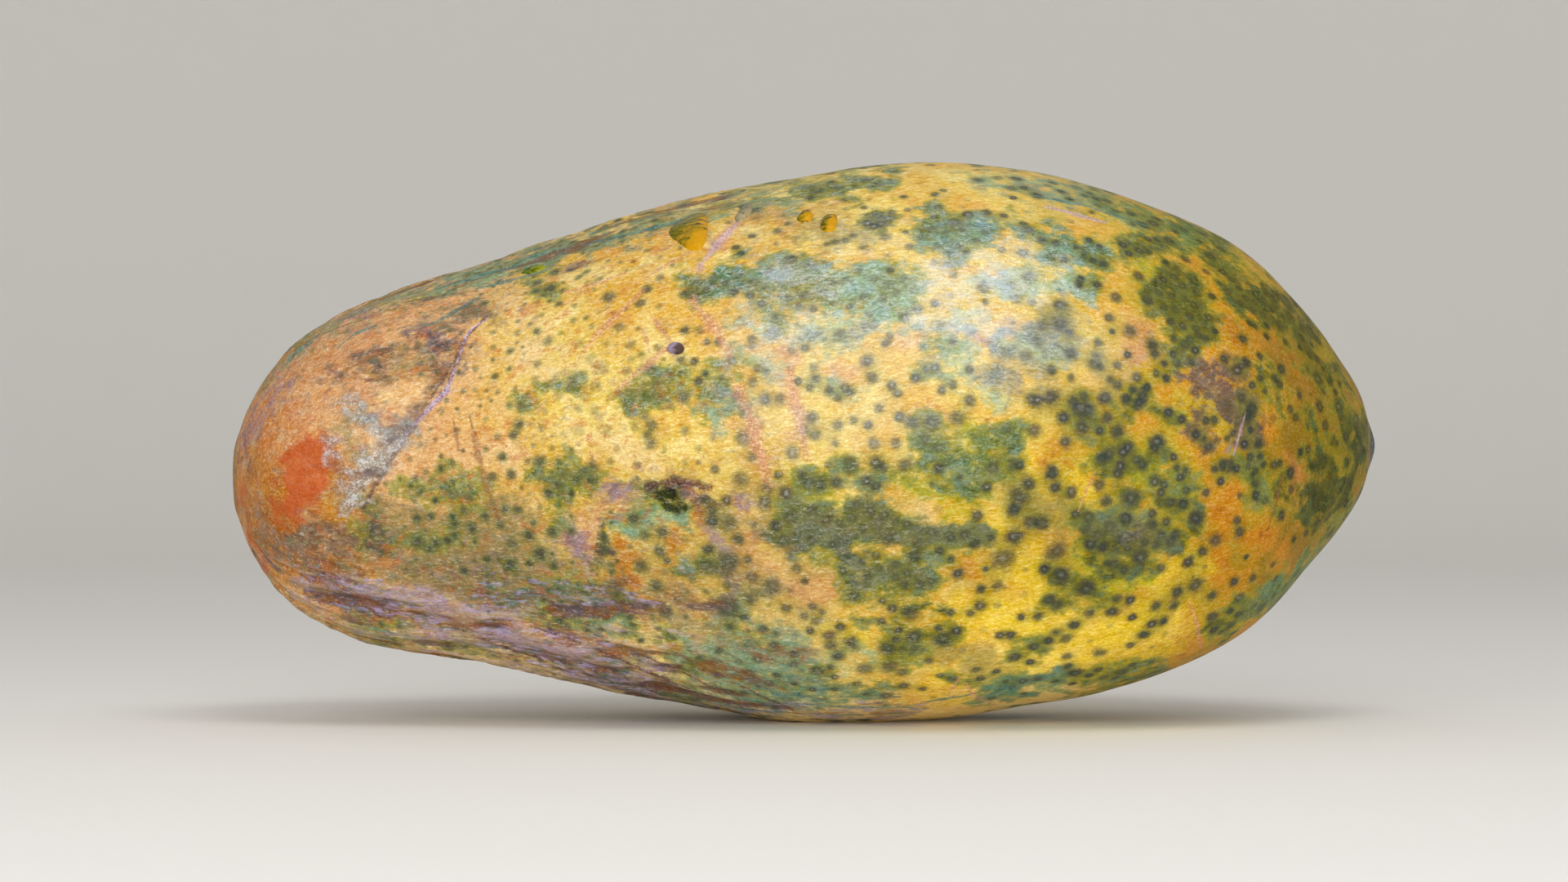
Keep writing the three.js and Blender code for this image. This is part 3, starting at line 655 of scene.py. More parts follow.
def smooth_through(xs, ys, x):
    """The height at x of a smooth curve through points: cubic pieces with slopes from the neighbours."""
    xs = np.asarray(xs, float)
    ys = np.asarray(ys, float)
    index = np.arange(len(xs))
    before = np.maximum(index - 1, 0)
    after = np.minimum(index + 1, len(xs) - 1)
    slopes = (ys[after] - ys[before]) / (xs[after] - xs[before])
    i = np.clip(np.searchsorted(xs, x, side="right") - 1, 0, len(xs) - 2)
    width = xs[i + 1] - xs[i]
    t = (x - xs[i]) / width
    return (
        ys[i] * (1 + 2 * t) * (1 - t) ** 2
        + ys[i + 1] * t * t * (3 - 2 * t)
        + width * t * (1 - t) * (slopes[i] * (1 - t) - slopes[i + 1] * t)
    )


def bell(distance, reach):
    """1 where the distance is 0, and nearly 0 beyond twice the reach."""
    return np.exp(-((distance / reach) ** 2))


def smoothstep(low, high, x):
    """Goes smoothly from 0 to 1 as x goes from low to high."""
    t = np.clip((x - low) / (high - low), 0, 1)
    return t * t * (3 - 2 * t)


def turn_at(along):
    """The turn runs from 0 at the stem end to pi at the blossom end."""
    return np.arccos(1 - 2 * along / LENGTH)


def nose_fullness(radius):
    """The fullness at a tip that is as round as a ball of this radius."""
    return math.sqrt(radius / (LENGTH / 2))


def fullness(turn):
    """The body's radius as a share of the radius of a ball as long as the fruit."""
    turns = [0.0]
    values = [nose_fullness(STEM_END["nose_radius"])]
    for along, _, radius in STATIONS:
        turns.append(turn_at(along))
        values.append(radius / (LENGTH / 2 * math.sin(turns[-1])))
    turns.append(math.pi)
    values.append(nose_fullness(BLOSSOM_END["nose_radius"]))
    return smooth_through(turns, values, turn)


def axis_height(along):
    """How high the middle of the fruit's cross-section lies."""
    alongs = [0] + [station[0] for station in STATIONS] + [LENGTH]
    heights = [station[1] for station in STATIONS]
    return smooth_through(alongs, [STEM_END["axis_height"], *heights, BLOSSOM_END["axis_height"]], along)


def body_points(turn, around):
    """Points on the smooth body, lobes included. The angles are in radians."""
    along = LENGTH * (1 - np.cos(turn)) / 2
    round_radius = LENGTH / 2 * fullness(turn) * np.sin(turn)
    peak = bell(along - LOBE_PEAK_ALONG, LOBE_PEAK_SPREAD)
    depth = (BELLY_LOBE_DEPTH + (BLOSSOM_LOBE_DEPTH - BELLY_LOBE_DEPTH) * peak) * np.sin(turn)
    radius = round_radius + depth * np.cos(LOBES * around)
    x = along - REST_ALONG
    y = -radius * np.sin(around)
    z = axis_height(along) + radius * np.cos(around)
    return np.stack([x, y, z], axis=-1)


def body_normals(turn, around):
    """Outward normals of the smooth body, from small steps along it and around it."""
    step = 1e-3
    along_step = body_points(turn + step, around) - body_points(turn - step, around)
    around_step = body_points(turn, around + step) - body_points(turn, around - step)
    normal = np.cross(around_step, along_step)
    return normal / np.linalg.norm(normal, axis=-1, keepdims=True)


def place_on_body(along, around):
    """The point of the smooth body at a place given in millimetres and degrees."""
    return body_points(turn_at(np.asarray(along, float)), np.radians(around))


def path_points(path, steps):
    """Places evenly spread along a path of (along, around), on the smooth body."""
    alongs, arounds = zip(*path)
    along = np.linspace(alongs[0], alongs[-1], steps)
    return place_on_body(along, smooth_through(alongs, arounds, along))


def ripples(points, wavelength, seed, stretch=(1, 1, 1), waves=40):
    """A smooth random field of about -1 to 1, made of plane waves."""
    rng = np.random.default_rng(seed)
    direction = rng.normal(size=(waves, 3))
    direction /= np.linalg.norm(direction, axis=1, keepdims=True)
    scale = 2 * math.pi / (wavelength * rng.uniform(0.7, 1.6, size=(waves, 1)))
    phase = rng.uniform(0, 2 * math.pi, size=waves)
    waves_at = (points / np.asarray(stretch, float)) @ (direction * scale).T + phase
    return np.sin(waves_at).sum(1) * math.sqrt(2 / waves) / 1.6


def fold_relief(points, height, width, path):
    """A fold fades out towards the ends of its path."""
    places = path_points(path, FOLD_STEPS)
    gaps = np.sqrt(((points[:, None, :] - places[None, :, :]) ** 2).sum(-1))
    share = gaps.argmin(1) / (FOLD_STEPS - 1)
    return height * bell(gaps.min(1), width) * np.sqrt(np.sin(math.pi * share))


def end_relief(along, radius):
    """The stem scar: a dish with a raised rim and the stub of the stem. The blossom end: a small nub."""
    dish = -SCAR["depth"] * bell(radius, SCAR["radius"]) ** 2
    rim = SCAR["rim"] * bell(radius - SCAR["radius"], SCAR["rim_spread"])
    stub = SCAR["stub_height"] * bell(radius, SCAR["stub_radius"])
    nub = NUB["height"] * bell(radius, NUB["radius"])
    moat = -NUB["moat_depth"] * bell(radius - NUB["moat_radius"], NUB["radius"])
    return np.where(along < LENGTH / 2, dish + rim + stub, nub + moat)


def ridges(points, wavelength, seed, stretch):
    """Sharp ridges from -1 to 1, between rounder hollows, made from ripples."""
    return 1 - 2 * np.abs(ripples(points, wavelength, seed, stretch))


def between_ends(along, fade):
    """1 between the ends of the fruit, falling to 0 over a span measured from each end."""
    return smoothstep(*fade, along) * smoothstep(LENGTH - fade[0], LENGTH - fade[1], along)


def wrinkle_relief(points, along, around):
    """Wrinkles that run along the fruit: deep low on the neck and near its top edge, faint elsewhere."""
    neck = 1 - smoothstep(*WRINKLED_NECK, along)
    low = smoothstep(*WRINKLED_LOW, np.cos(around))
    high = 0.5 * smoothstep(*WRINKLED_HIGH, np.cos(around))
    flow = np.column_stack([points[:, 0], WRINKLE_RADIUS * np.cos(around), WRINKLE_RADIUS * np.sin(around)])
    bent = flow + WRINKLE_BEND * np.stack([ripples(flow, *wave) for wave in WRINKLE_BEND_RIPPLES], axis=-1)
    fold_height = FOLD_WRINKLE_HEIGHT * ridges(bent, *FOLD_WRINKLES) * neck * np.maximum(low, high)
    fine_share = FINE_WRINKLE_HEIGHTS[0] + FINE_WRINKLE_HEIGHTS[1] * neck * (0.25 + low + high)
    return (fold_height + ridges(bent, *FINE_WRINKLES) * fine_share) * between_ends(along, WRINKLED_ENDS)


def fine_relief(points, along):
    """What the CAD solid is too coarse for: a faint waviness, and small lumps on the neck."""
    waviness = sum(height * ripples(points, *wave) for height, *wave in WAVES)
    height, *wave = NECK_LUMPS
    lumps = height * ripples(points, *wave) * (1 - smoothstep(*LUMPY_NECK, along))
    return (waviness + lumps) * between_ends(along, RELIEF_ENDS)


def skin_points():
    """The skin's vertices, from the stem pole over the rings to the blossom pole, and three facts on each:
    the body's normal, its place around in radians, and how far wrinkles lift it."""
    turns = math.pi * np.arange(1, RINGS) / RINGS
    turn, around = np.meshgrid(turns, 2 * math.pi * np.arange(SIDES) / SIDES, indexing="ij")
    turn = np.concatenate([[POLE], turn.ravel(), [math.pi - POLE]])
    around = np.concatenate([[0.0], around.ravel(), [0.0]])
    body = body_points(turn, around)
    normal = body_normals(turn, around)
    along = LENGTH * (1 - np.cos(turn)) / 2
    radius = np.hypot(body[:, 1], body[:, 2] - axis_height(along))
    wrinkles = wrinkle_relief(body, along, around)
    relief = end_relief(along, radius) + fine_relief(body, along) + wrinkles
    for height, width, path in FOLDS:
        fold = fold_relief(body, height, width, path)
        relief += fold
        wrinkles += FOLD_CREST * fold
    for place_along, place_around, reach, height in SWELLS:
        place = place_on_body(place_along, place_around)
        relief += height * bell(np.linalg.norm(body - place, axis=1), reach)
    points = body + normal * relief[:, None]
    points[:, 2] = np.maximum(points[:, 2], 0)
    return points, normal, around, wrinkles


def disc_faces(rings, sides):
    """Triangles round the first vertex, and rings of four-sided faces outward from them."""
    faces = [(0, 1 + (side + 1) % sides, 1 + side) for side in range(sides)]
    for ring in range(rings - 1):
        first = 1 + ring * sides
        for side in range(sides):
            a = first + side
            b = first + (side + 1) % sides
            faces.append((a, b, b + sides, a + sides))
    return faces


def skin_faces():
    """A disc round the stem's pole over every ring, closed by triangles round the blossom's pole."""
    last = (RINGS - 1) * SIDES + 1
    rim = last - SIDES
    closing = [(last, rim + side, rim + (side + 1) % SIDES) for side in range(SIDES)]
    return disc_faces(RINGS - 1, SIDES) + closing


def in_picture(points):
    """Where points show in the picture, in pixels."""
    offset = points - CAMERA
    across = PICTURE[0] / 2 + FOCAL_PX * offset[:, 0] / offset[:, 1]
    down = PICTURE[1] / 2 - FOCAL_PX * offset[:, 2] / offset[:, 1]
    return np.stack([across, down], axis=-1)


def stroke_distance(spots, path):
    """From each spot to the nearest part of a path of straight pieces."""
    nearest = np.full(len(spots), np.inf)
    path = np.asarray(path, float)
    for start, end in zip(path[:-1], path[1:]):
        way = end - start
        share = np.clip(((spots - start) @ way) / (way @ way), 0, 1)
        nearest = np.minimum(nearest, np.linalg.norm(spots - start - share[:, None] * way, axis=1))
    return nearest


def level_of(distance, half_width, edge):
    """1 well inside a patch, 0.5 on its edge and 0 well outside."""
    return np.clip(0.5 + (half_width - distance) / (2 * edge), 0, 1)


def wander(points):
    """The points moved about a little, smoothly, so that nothing drawn over them has a straight edge."""
    shift = np.zeros_like(points)
    for i, (far, size) in enumerate(WANDER):
        for axis in range(3):
            shift[:, axis] += far * ripples(points, size, WANDER_SEED + 3 * i + axis)
    return points + shift


def front_levels(points, facing, kind):
    """The level at every vertex of one kind of patch on the side that faces the camera."""
    levels = np.zeros(len(points))
    turned = facing + SEAM_WOBBLE * ripples(points, *SEAM_RIPPLES)
    seen = turned > SEAM[0]
    picture = in_picture(points[seen])
    found = np.zeros(len(picture))
    edge = EDGE_PX * SOFT_KINDS.get(kind, 1)
    for half_width, *path in PATCHES[kind]:
        found = np.maximum(found, level_of(stroke_distance(picture, path), half_width, edge))
    levels[seen] = found * smoothstep(*SEAM, turned[seen])
    return levels


def hidden_levels(points, facing, kind, seed):
    """The level at every vertex of one kind of patch on the sides that the camera doesn't see."""
    count, narrow, wide, first, last = HIDDEN_PATCHES[kind]
    far_along, far_around = HIDDEN_STEP
    edge = EDGE_MM * SOFT_KINDS.get(kind, 1)
    rng = random.Random(seed)
    levels = np.zeros(len(points))
    for _ in range(count):
        along = rng.uniform(first, last)
        around = rng.uniform(*HIDDEN_AROUND)
        half_width = rng.uniform(narrow, wide)
        path = [(along, around)]
        for _ in range(rng.randint(1, 3)):
            along += rng.uniform(-far_along, far_along)
            along = min(max(along, HIDDEN_MARGIN), LENGTH - HIDDEN_MARGIN)
            around += rng.uniform(-far_around, far_around)
            path.append((along, around))
        places = place_on_body(*zip(*path))
        levels = np.maximum(levels, level_of(stroke_distance(points, places), half_width, edge))
    return levels * smoothstep(*HIDDEN_SEAM, facing)


def set_attribute(mesh, name, values, domain="POINT", kind="FLOAT"):
    """Writes a number or vector for each vertex or face, for the shader to read."""
    attribute = mesh.attributes.new(name, kind, domain)
    key = "vector" if kind == "FLOAT_VECTOR" else "value"
    attribute.data.foreach_set(key, np.asarray(values, np.float32).ravel())


def paint_patches(mesh, points, facing):
    """Writes the level of each kind of patch. Returns how far each vertex is in one with closer specks."""
    crowd = np.zeros(len(points))
    moved = wander(points)
    for seed, kind in enumerate(PATCHES):
        levels = front_levels(moved, facing, kind)
        if kind in HIDDEN_PATCHES:
            levels = np.maximum(levels, hidden_levels(moved, facing, kind, seed))
        set_attribute(mesh, kind, levels)
        if kind in CROWDED_KINDS:
            crowd = np.maximum(crowd, levels)
    return crowd


def arc_length(along):
    """How far a place is from the stem end, measured over the skin."""
    turns = np.linspace(0, math.pi, ARC_STEPS)[1:-1]
    line = body_points(turns, 0.0)
    arcs = np.concatenate([[0], np.cumsum(np.linalg.norm(np.diff(line, axis=0), axis=1))])
    return np.interp(along, LENGTH * (1 - np.cos(turns)) / 2, arcs)


def paint_flow(mesh, points, along, around):
    """Coordinates that follow the fruit from end to end, so that fibres and streaks run along it, and how
    far along it, how high up and how many millimetres from the axis each vertex is."""
    gap = np.hypot(points[:, 1], points[:, 2] - axis_height(along))
    flow = np.column_stack([arc_length(along), gap * np.cos(around), gap * np.sin(around)])
    set_attribute(mesh, "flow", flow * MM, "POINT", "FLOAT_VECTOR")
    set_attribute(mesh, "along", along / LENGTH)
    set_attribute(mesh, "upness", np.cos(around))
    set_attribute(mesh, "axis_gap", gap)


class SpeckField:
    """Specks, each kept in a cell of space, so that the ones near a point are found fast."""

    CELL = 6.0

    def __init__(self):
        self.centres = []
        self.radii = []
        self.tones = []
        self.cells = {}

    def key(self, point):
        return tuple(int(c // self.CELL) for c in point)

    def crowded(self, point, spacing):
        """Whether a speck lies within the spacing of a point."""
        x, y, z = self.key(point)
        for dx, dy, dz in product((-1, 0, 1), repeat=3):
            for index in self.cells.get((x + dx, y + dy, z + dz), ()):
                if np.linalg.norm(point - self.centres[index]) < spacing + 0.5 * self.radii[index]:
                    return True
        return False

    def add(self, point, radius, tone):
        self.cells.setdefault(self.key(point), []).append(len(self.centres))
        self.centres.append(point)
        self.radii.append(radius)
        self.tones.append(tone)


def calm(place):
    """How strong a speck is at a place in the picture: fainter where the skin is plain."""
    gaps = [math.dist(place, (x, y)) / radius for x, y, radius in CALM_PLACES]
    return 1 - CALM_LOSS * float(smoothstep(1.0, 0.6, min(gaps)))


def specks_in_picture():
    """Where the specks' middles are in the picture, and their radii, in whole pixels."""
    specks = []
    for (left, top, scale), places in SPECK_VIEWS.items():
        for x, y, radius in places:
            specks.append((round(left + x / scale), round(top + y / scale), round(radius / scale)))
    return sorted(specks, key=lambda speck: (speck[2], speck[1] // SPECK_ROW, speck[0], speck[1]))


def seen_specks(skin, field):
    """The specks that show in the picture, each where a ray through its pixel meets the skin."""
    rng = random.Random(SEEN_SPECK_SEED)
    for x, y, radius in specks_in_picture():
        hit = cast(skin, (x, y))
        if hit is not None:
            near = float(smoothstep(*FAINTER_PX, x))
            far = float(smoothstep(*DARKER_PX, x))
            size = radius / PX_PER_MM * rng.uniform(0.9, 1.1) * (1 + 0.08 * far)
            tone = min(rng.uniform(0.74, 1.0) - 0.1 * near + 0.12 * far, 1.0)
            field.add(hit[0], size, tone * calm((x, y)))


def share_of(span, share):
    """A number between the two ends of a span."""
    return span[0] + (span[1] - span[0]) * share


def random_specks(points, along, facing, crowd, field):
    """Specks everywhere else, smaller and closer on the neck, and closer in green and grey patches. Outside
    those patches, the ones on the side that shows are faint."""
    rng = random.Random(SPECK_SEED)
    chances = np.sqrt(np.clip(1 - (2 * along / LENGTH - 1) ** 2, 0, 1))  # vertices crowd at the ends
    for _ in range(SPECK_TRIES):
        i = rng.randrange(len(points))
        if rng.random() > chances[i]:
            continue
        belly = float(smoothstep(*SPECKED_BELLY, along[i]))
        spacing = share_of(SPECK_SPACING, belly) * rng.uniform(0.7, 1.35) * (1 - 0.5 * crowd[i])
        if field.crowded(points[i], spacing):
            continue
        faint = facing[i] > 0.15 and crowd[i] < 0.5
        size = 0.9 - 0.3 * belly if faint else 1.0
        radius = share_of(SPECK_RADIUS, belly) * rng.uniform(0.6, 1.2) * size
        tone = rng.uniform(0.2, 0.5) + 0.25 * (1 - belly) if faint else rng.uniform(0.55, 1.0)
        if faint:
            tone *= calm(in_picture(points[i : i + 1])[0]) * float(smoothstep(*FAINT_FROM, along[i]))
        field.add(points[i], radius, tone)


def paint_specks(mesh, points, field):
    """Each face knows its two nearest specks, so that the shader can draw them crisply. Halos are soft."""
    centres = np.array(field.centres)
    radii = np.array(field.radii)
    tones = np.array(field.tones)
    tree = KDTree(len(centres))
    for i, centre in enumerate(centres):
        tree.insert(centre, i)
    tree.balance()
    middles = face_middles(mesh)
    nearest = np.array([[found[1] for found in tree.find_n(middle, 2)] for middle in middles])
    for rank, name in enumerate(("speck_a", "speck_b")):
        chosen = nearest[:, rank]
        set_attribute(mesh, name, centres[chosen] * MM, "FACE", "FLOAT_VECTOR")
        set_attribute(mesh, name + "_radius", radii[chosen] * MM, "FACE")
        set_attribute(mesh, name + "_tone", tones[chosen], "FACE")
    halo = np.zeros(len(points))
    for i, point in enumerate(points):
        for _, index, gap in tree.find_n(point, 4):
            halo[i] += tones[index] * math.exp(-((gap / (HALO_REACH * radii[index])) ** 2))
    set_attribute(mesh, "halo", np.clip(halo, 0, HALO_MOST))


def face_middles(mesh):
    """The middle of every face, in millimetres."""
    middles = np.empty(len(mesh.polygons) * 3, np.float32)
    mesh.polygons.foreach_get("center", middles)
    return middles.reshape(-1, 3) / MM


def cast(skin, pixel):
    """The point of the skin that shows at a pixel, in millimetres, and its normal, or None."""
    ray = Vector((pixel[0] - PICTURE[0] / 2, FOCAL_PX, PICTURE[1] / 2 - pixel[1])).normalized()
    hit, place, normal, _ = skin.ray_cast(Vector(CAMERA) * MM, ray)
    return (np.array(place) / MM, np.array(normal)) if hit else None


def paint_lines(skin, kind, lines):
    """Each face knows the nearest point and direction of the nearest line, so that it is drawn crisply."""
    mesh = skin.data
    middles = face_middles(mesh)
    nearest = np.full(len(middles), np.inf)
    points = np.zeros_like(middles)
    ways = np.zeros_like(middles)
    widths = np.zeros(len(middles))
    for half_width, *path in lines:
        rough = np.asarray(path, float)
        steps = np.linspace(0, len(rough) - 1, LINE_PIECES * (len(rough) - 1) + 1)
        finer = np.stack([np.interp(steps, range(len(rough)), rough[:, axis]) for axis in (0, 1)], axis=-1)
        hits = [cast(skin, pixel) for pixel in finer]
        places = np.array([hit[0] for hit in hits if hit is not None])
        taper = np.sin(math.pi * np.linspace(*LINE_TAPER[:2], len(places))) ** LINE_TAPER[2]
        for start, end, thick in zip(places[:-1], places[1:], taper):
            way = end - start
            share = np.clip(((middles - start) @ way) / (way @ way), 0, 1)
            foot = start + share[:, None] * way
            gap = np.linalg.norm(middles - foot, axis=1) / (half_width * thick)
            closer = gap < nearest
            nearest[closer] = gap[closer]
            points[closer] = foot[closer]
            ways[closer] = way / np.linalg.norm(way)
            widths[closer] = half_width * thick
    set_attribute(mesh, kind + "_point", points * MM, "FACE", "FLOAT_VECTOR")
    set_attribute(mesh, kind + "_way", ways, "FACE", "FLOAT_VECTOR")
    set_attribute(mesh, kind + "_width", np.where(nearest < LINE_REACH, widths, 0) * MM, "FACE")


def tint(code):
    """The linear colour of a six-figure code."""
    parts = [int(code[i : i + 2], 16) / 255 for i in (0, 2, 4)]
    linear = [c / 12.92 if c <= 0.04045 else ((c + 0.055) / 1.055) ** 2.4 for c in parts]
    return (*linear, 1.0)


class Shader:
    """Builds one material's nodes. A value is a number, a colour's code or another node's output."""

    def __init__(self, name):
        self.material = bpy.data.materials.new(name)
        self.material.use_nodes = True
        self.tree = self.material.node_tree
        self.tree.nodes.clear()
        self.coordinates = self.add("TexCoord").outputs["Object"]

    def add(self, kind, inputs=None, **settings):
        node = self.tree.nodes.new("ShaderNode" + kind)
        for key, value in settings.items():
            setattr(node, key, value)
        for key, value in (inputs or {}).items():
            self.feed(node.inputs[key], value)
        return node

    def feed(self, socket, value):
        if isinstance(value, bpy.types.NodeSocket):
            self.tree.links.new(value, socket)
        else:
            socket.default_value = tint(value) if isinstance(value, str) else value

    def level(self, name):
        return self.add("Attribute", attribute_name=name).outputs["Fac"]

    def vector(self, name):
        return self.add("Attribute", attribute_name=name).outputs["Vector"]

    def math(self, operation, a, b=0.0):
        return self.add("Math", {0: a, 1: b}, operation=operation).outputs[0]

    def times(self, a, *others):
        """The product of the values."""
        for value in others:
            a = self.math("MULTIPLY", a, value)
        return a

    def most(self, a, *others):
        """The greatest of the values."""
        for value in others:
            a = self.math("MAXIMUM", a, value)
        return a

    def total(self, *parts):
        """The sum of the parts, each a value or a pair of a value and its weight."""
        result = 0.0
        for part in parts:
            value, weight = part if isinstance(part, tuple) else (part, 1.0)
            result = self.add("Math", {0: value, 1: weight, 2: result}, operation="MULTIPLY_ADD").outputs[0]
        return result

    def vmath(self, operation, a, b=(0, 0, 0)):
        node = self.add("VectorMath", {0: a, 1: b}, operation=operation)
        return node.outputs["Value" if operation in ("LENGTH", "DOT_PRODUCT") else "Vector"]

    def between(self, value, low, high, start=0.0, end=1.0):
        """Goes smoothly from start to end as the value goes from low to high."""
        inputs = {"Value": value, "From Min": low, "From Max": high, "To Min": start, "To Max": end}
        return self.add("MapRange", inputs, interpolation_type="SMOOTHSTEP").outputs["Result"]

    def mix(self, share, a, b, blend="MIX"):
        return self.add("Mix", {0: share, 6: a, 7: b}, data_type="RGBA", blend_type=blend).outputs[2]

    def cover(self, colour, over, strength, value, low, high):
        """Covers a colour with another, up to strength, as the value goes from low to high."""
        return self.mix(self.between(value, low, high, 0.0, strength), colour, over)

    def blend(self, value, low, high, a, b):
        """Goes from one colour to another as the value goes from low to high."""
        return self.mix(self.between(value, low, high), a, b)

    def noise(self, size, detail=3.0, stretch=1.0, flow=False, shift=0.0, roughness=0.5, distortion=0.0):
        """Noise from about -0.25 to 0.25. Its lumps are size millimetres wide and stretch times as long."""
        across = 1 / (MM * size)
        place = self.add(
            "Mapping",
            {
                "Vector": self.vector("flow") if flow else self.coordinates,
                "Location": (shift, shift, shift),
                "Scale": (across / stretch, across, across),
            },
        )
        inputs = {
            "Vector": place.outputs[0],
            "Scale": 1.0,
            "Detail": detail,
            "Roughness": roughness,
            "Distortion": distortion,
        }
        return self.math("SUBTRACT", self.add("TexNoise", inputs).outputs["Fac"], 0.5)

    def bump(self, height, distance):
        return self.add("Bump", {"Height": height, "Distance": distance, "Strength": 1.0}).outputs[0]

    def finish(self, inputs):
        """Ends in a surface with these inputs, and returns the material."""
        surface = self.add("BsdfPrincipled", inputs)
        self.add("OutputMaterial", {"Surface": surface.outputs[0]})
        return self.material


# How each kind of patch looks: two colours, the softness of its edge, how far noise moves the edge, its
# strength and how strongly the specks' halos draw it towards them. Later kinds cover earlier ones.
LOOKS = {
    "dull": ("A87E4C", "94744A", 0.45, 1.2, 0.48, 0.0),
    "gold": ("F0D23C", "E2C02A", 0.45, 1.2, 0.85, 0.0),
    "tan": ("B48444", "A87840", 0.42, 0.5, 0.8, 0.0),
    "cream": ("EED090", "E8C690", 0.46, 1.6, 0.5, 0.0),
    "peach": ("DEA468", "D09062", 0.42, 1.0, 0.66, 0.0),
    "umber": ("9A622C", "7C4C22", 0.44, 1.7, 0.72, 0.0),
    "lime": ("B8AC14", "9AA01A", 0.42, 1.2, 0.9, 0.0),
    "olive": ("8A7E46", "706A48", 0.38, 1.6, 0.6, 0.15),
    "rose": ("D08870", "C06E60", 0.42, 1.3, 0.66, 0.0),
    "lilac": ("96829A", "72607A", 0.38, 1.9, 0.74, 0.0),
    "dusk": ("82695E", "66503E", 0.42, 2.6, 0.72, 0.10),
    "orange": ("CC8604", "B86C00", 0.42, 1.7, 0.8, 0.0),
    "green": ("5C7838", "445C38", 0.36, 1.4, 0.92, 0.14),
    "dark": ("32461A", "26341C", 0.30, 1.3, 0.97, 0.10),
    "haze": ("94BA94", "76A088", 0.46, 1.6, 0.74, 0.0),
    "teal": ("64987A", "4C7E7A", 0.44, 1.5, 0.76, 0.05),
    "grey": ("6E705A", "565A4E", 0.46, 1.3, 0.8, 0.05),
    "bruise": ("66524E", "4C4240", 0.40, 2.2, 0.88, 0.10),
}
# These are painted later, over flecks and streaks.
LATE_LOOKS = {
    "red": ("CB6836", "C05726", 0.40, 0.35, 0.92, 0.0),
    "pit": ("303A10", "201C14", 0.28, 0.8, 0.97, 0.0),
}
SCUFF_EDGE = (0.42, 1.5, 0.78, 0.0)  # the same last four values for the scuffs, which paint_scuffs colours
# These have a yellow-green fringe, and other colours in them, as strong as this.
FRINGED = {"green": 1.0, "dark": 0.4}


class SkinShader(Shader):
    """The skin's shader, with the levels and noises that its layers share."""

    def __init__(self, name):
        super().__init__(name)
        self.along = self.level("along")
        self.upness = self.level("upness")
        self.halo = self.level("halo")
        self.ragged = self.noise(2.3, 5, stretch=1.4, flow=True, shift=11, roughness=0.62, distortion=0.4)
        self.mottle = self.noise(4.4, 4, stretch=1.3, flow=True, shift=17, roughness=0.6, distortion=0.5)
        self.stipple = self.noise(0.5, 2, shift=29, roughness=0.6)
        self.streak = self.noise(1.8, 4, stretch=6.0, flow=True, shift=31, roughness=0.6, distortion=0.8)
        fibre = self.noise(0.6, 3, stretch=3.0, flow=True, shift=23, roughness=0.66, distortion=1.0)
        self.fibre = self.times(fibre, self.between(self.level("red"), 0.3, 0.8, 1.0, 0.3))


def ground_colour(s):
    """The ripe skin: golden yellow in clouds, peach on the neck, browner low down, deep at the far end, and
    painted paler on the underside as light from below.
    """
    broad = s.noise(34, 3, shift=3)
    cloud = s.noise(10, 4, shift=7)
    spots = s.noise(5, 5, shift=13, roughness=0.62, distortion=0.5)
    colour = s.blend(broad, -0.08, 0.12, "E8C85E", "DEB046")
    colour = s.cover(colour, "F0D884", 0.8, cloud, -0.02, 0.16)
    colour = s.cover(colour, "D8A03E", 0.7, cloud, -0.04, -0.2)
    neck = s.total(s.between(s.along, 0.14, 0.36, 1.0, 0.0), (cloud, 1.2))
    colour = s.cover(colour, "E0AC76", 0.8, neck, 0.15, 0.9)
    low = s.total(s.upness, broad, (cloud, 0.6))
    browner = s.times(s.between(low, 0.15, -0.40, 0.0, 0.6), s.between(s.along, 0.38, 0.60, 1.0, 0.15))
    colour = s.mix(browner, colour, "B89C54")
    # Painted light from below: the underside is covered with a paler yellow.
    colour = s.cover(colour, "ECD088", 0.85, low, -0.62, -0.92)
    far = s.total(s.along, (cloud, 0.4), (broad, 0.3))
    colour = s.cover(colour, s.blend(cloud, -0.1, 0.12, "C08204", "B89808"), 0.92, far, 0.60, 0.84)
    colour = s.cover(colour, "846400", 0.8, far, 0.86, 0.97)
    nose = s.total(s.between(s.along, 0.02, 0.24, 0.7, 0.0), (spots, 2.4))
    colour = s.cover(colour, "CC7A28", 0.8, nose, 0.3, 0.75)
    dusky = s.total(s.between(s.along, 0.0, 0.34, 0.4, 0.0), (spots, -2.4))
    return s.cover(colour, "A08878", 0.55, dusky, 0.35, 0.8)


def patch_share(s, kind, soft, ragged_share, strength, halo_share):
    """Noise moves the edge of a patch, but makes none where there is no patch."""
    level = s.level(kind)
    noise = s.total((s.ragged, ragged_share), (s.mottle, 0.5 * ragged_share))
    noise = s.times(noise, s.between(level, 0.0, 0.2, 0.15, 1.0))
    noisy = s.total(level, noise, (s.halo, halo_share))
    return noisy, s.between(noisy, 0.5 - soft, 0.5 + soft, 0.0, strength)


def fringed_colour(s, inner, rich, veil):
    """Blue-green veils, a pale stipple of painted glints, dark gaps and yellow-green spots inside a patch.
    """
    inner = s.cover(inner, "64887A", 0.7 * rich, s.total(veil, (s.ragged, 0.5)), 0.0, 0.14)
    # A pale stipple of painted glints.
    inner = s.cover(inner, "8C9E80", 0.34 * rich, s.total((s.stipple, 0.3), s.ragged), 0.02, 0.2)
    inner = s.cover(inner, "26321C", 0.75, s.total(s.mottle, (s.stipple, 0.3)), 0.0, -0.16)
    return s.cover(inner, "868E22", 0.6 * rich, s.total(s.ragged, (s.mottle, -0.6)), 0.06, 0.18)


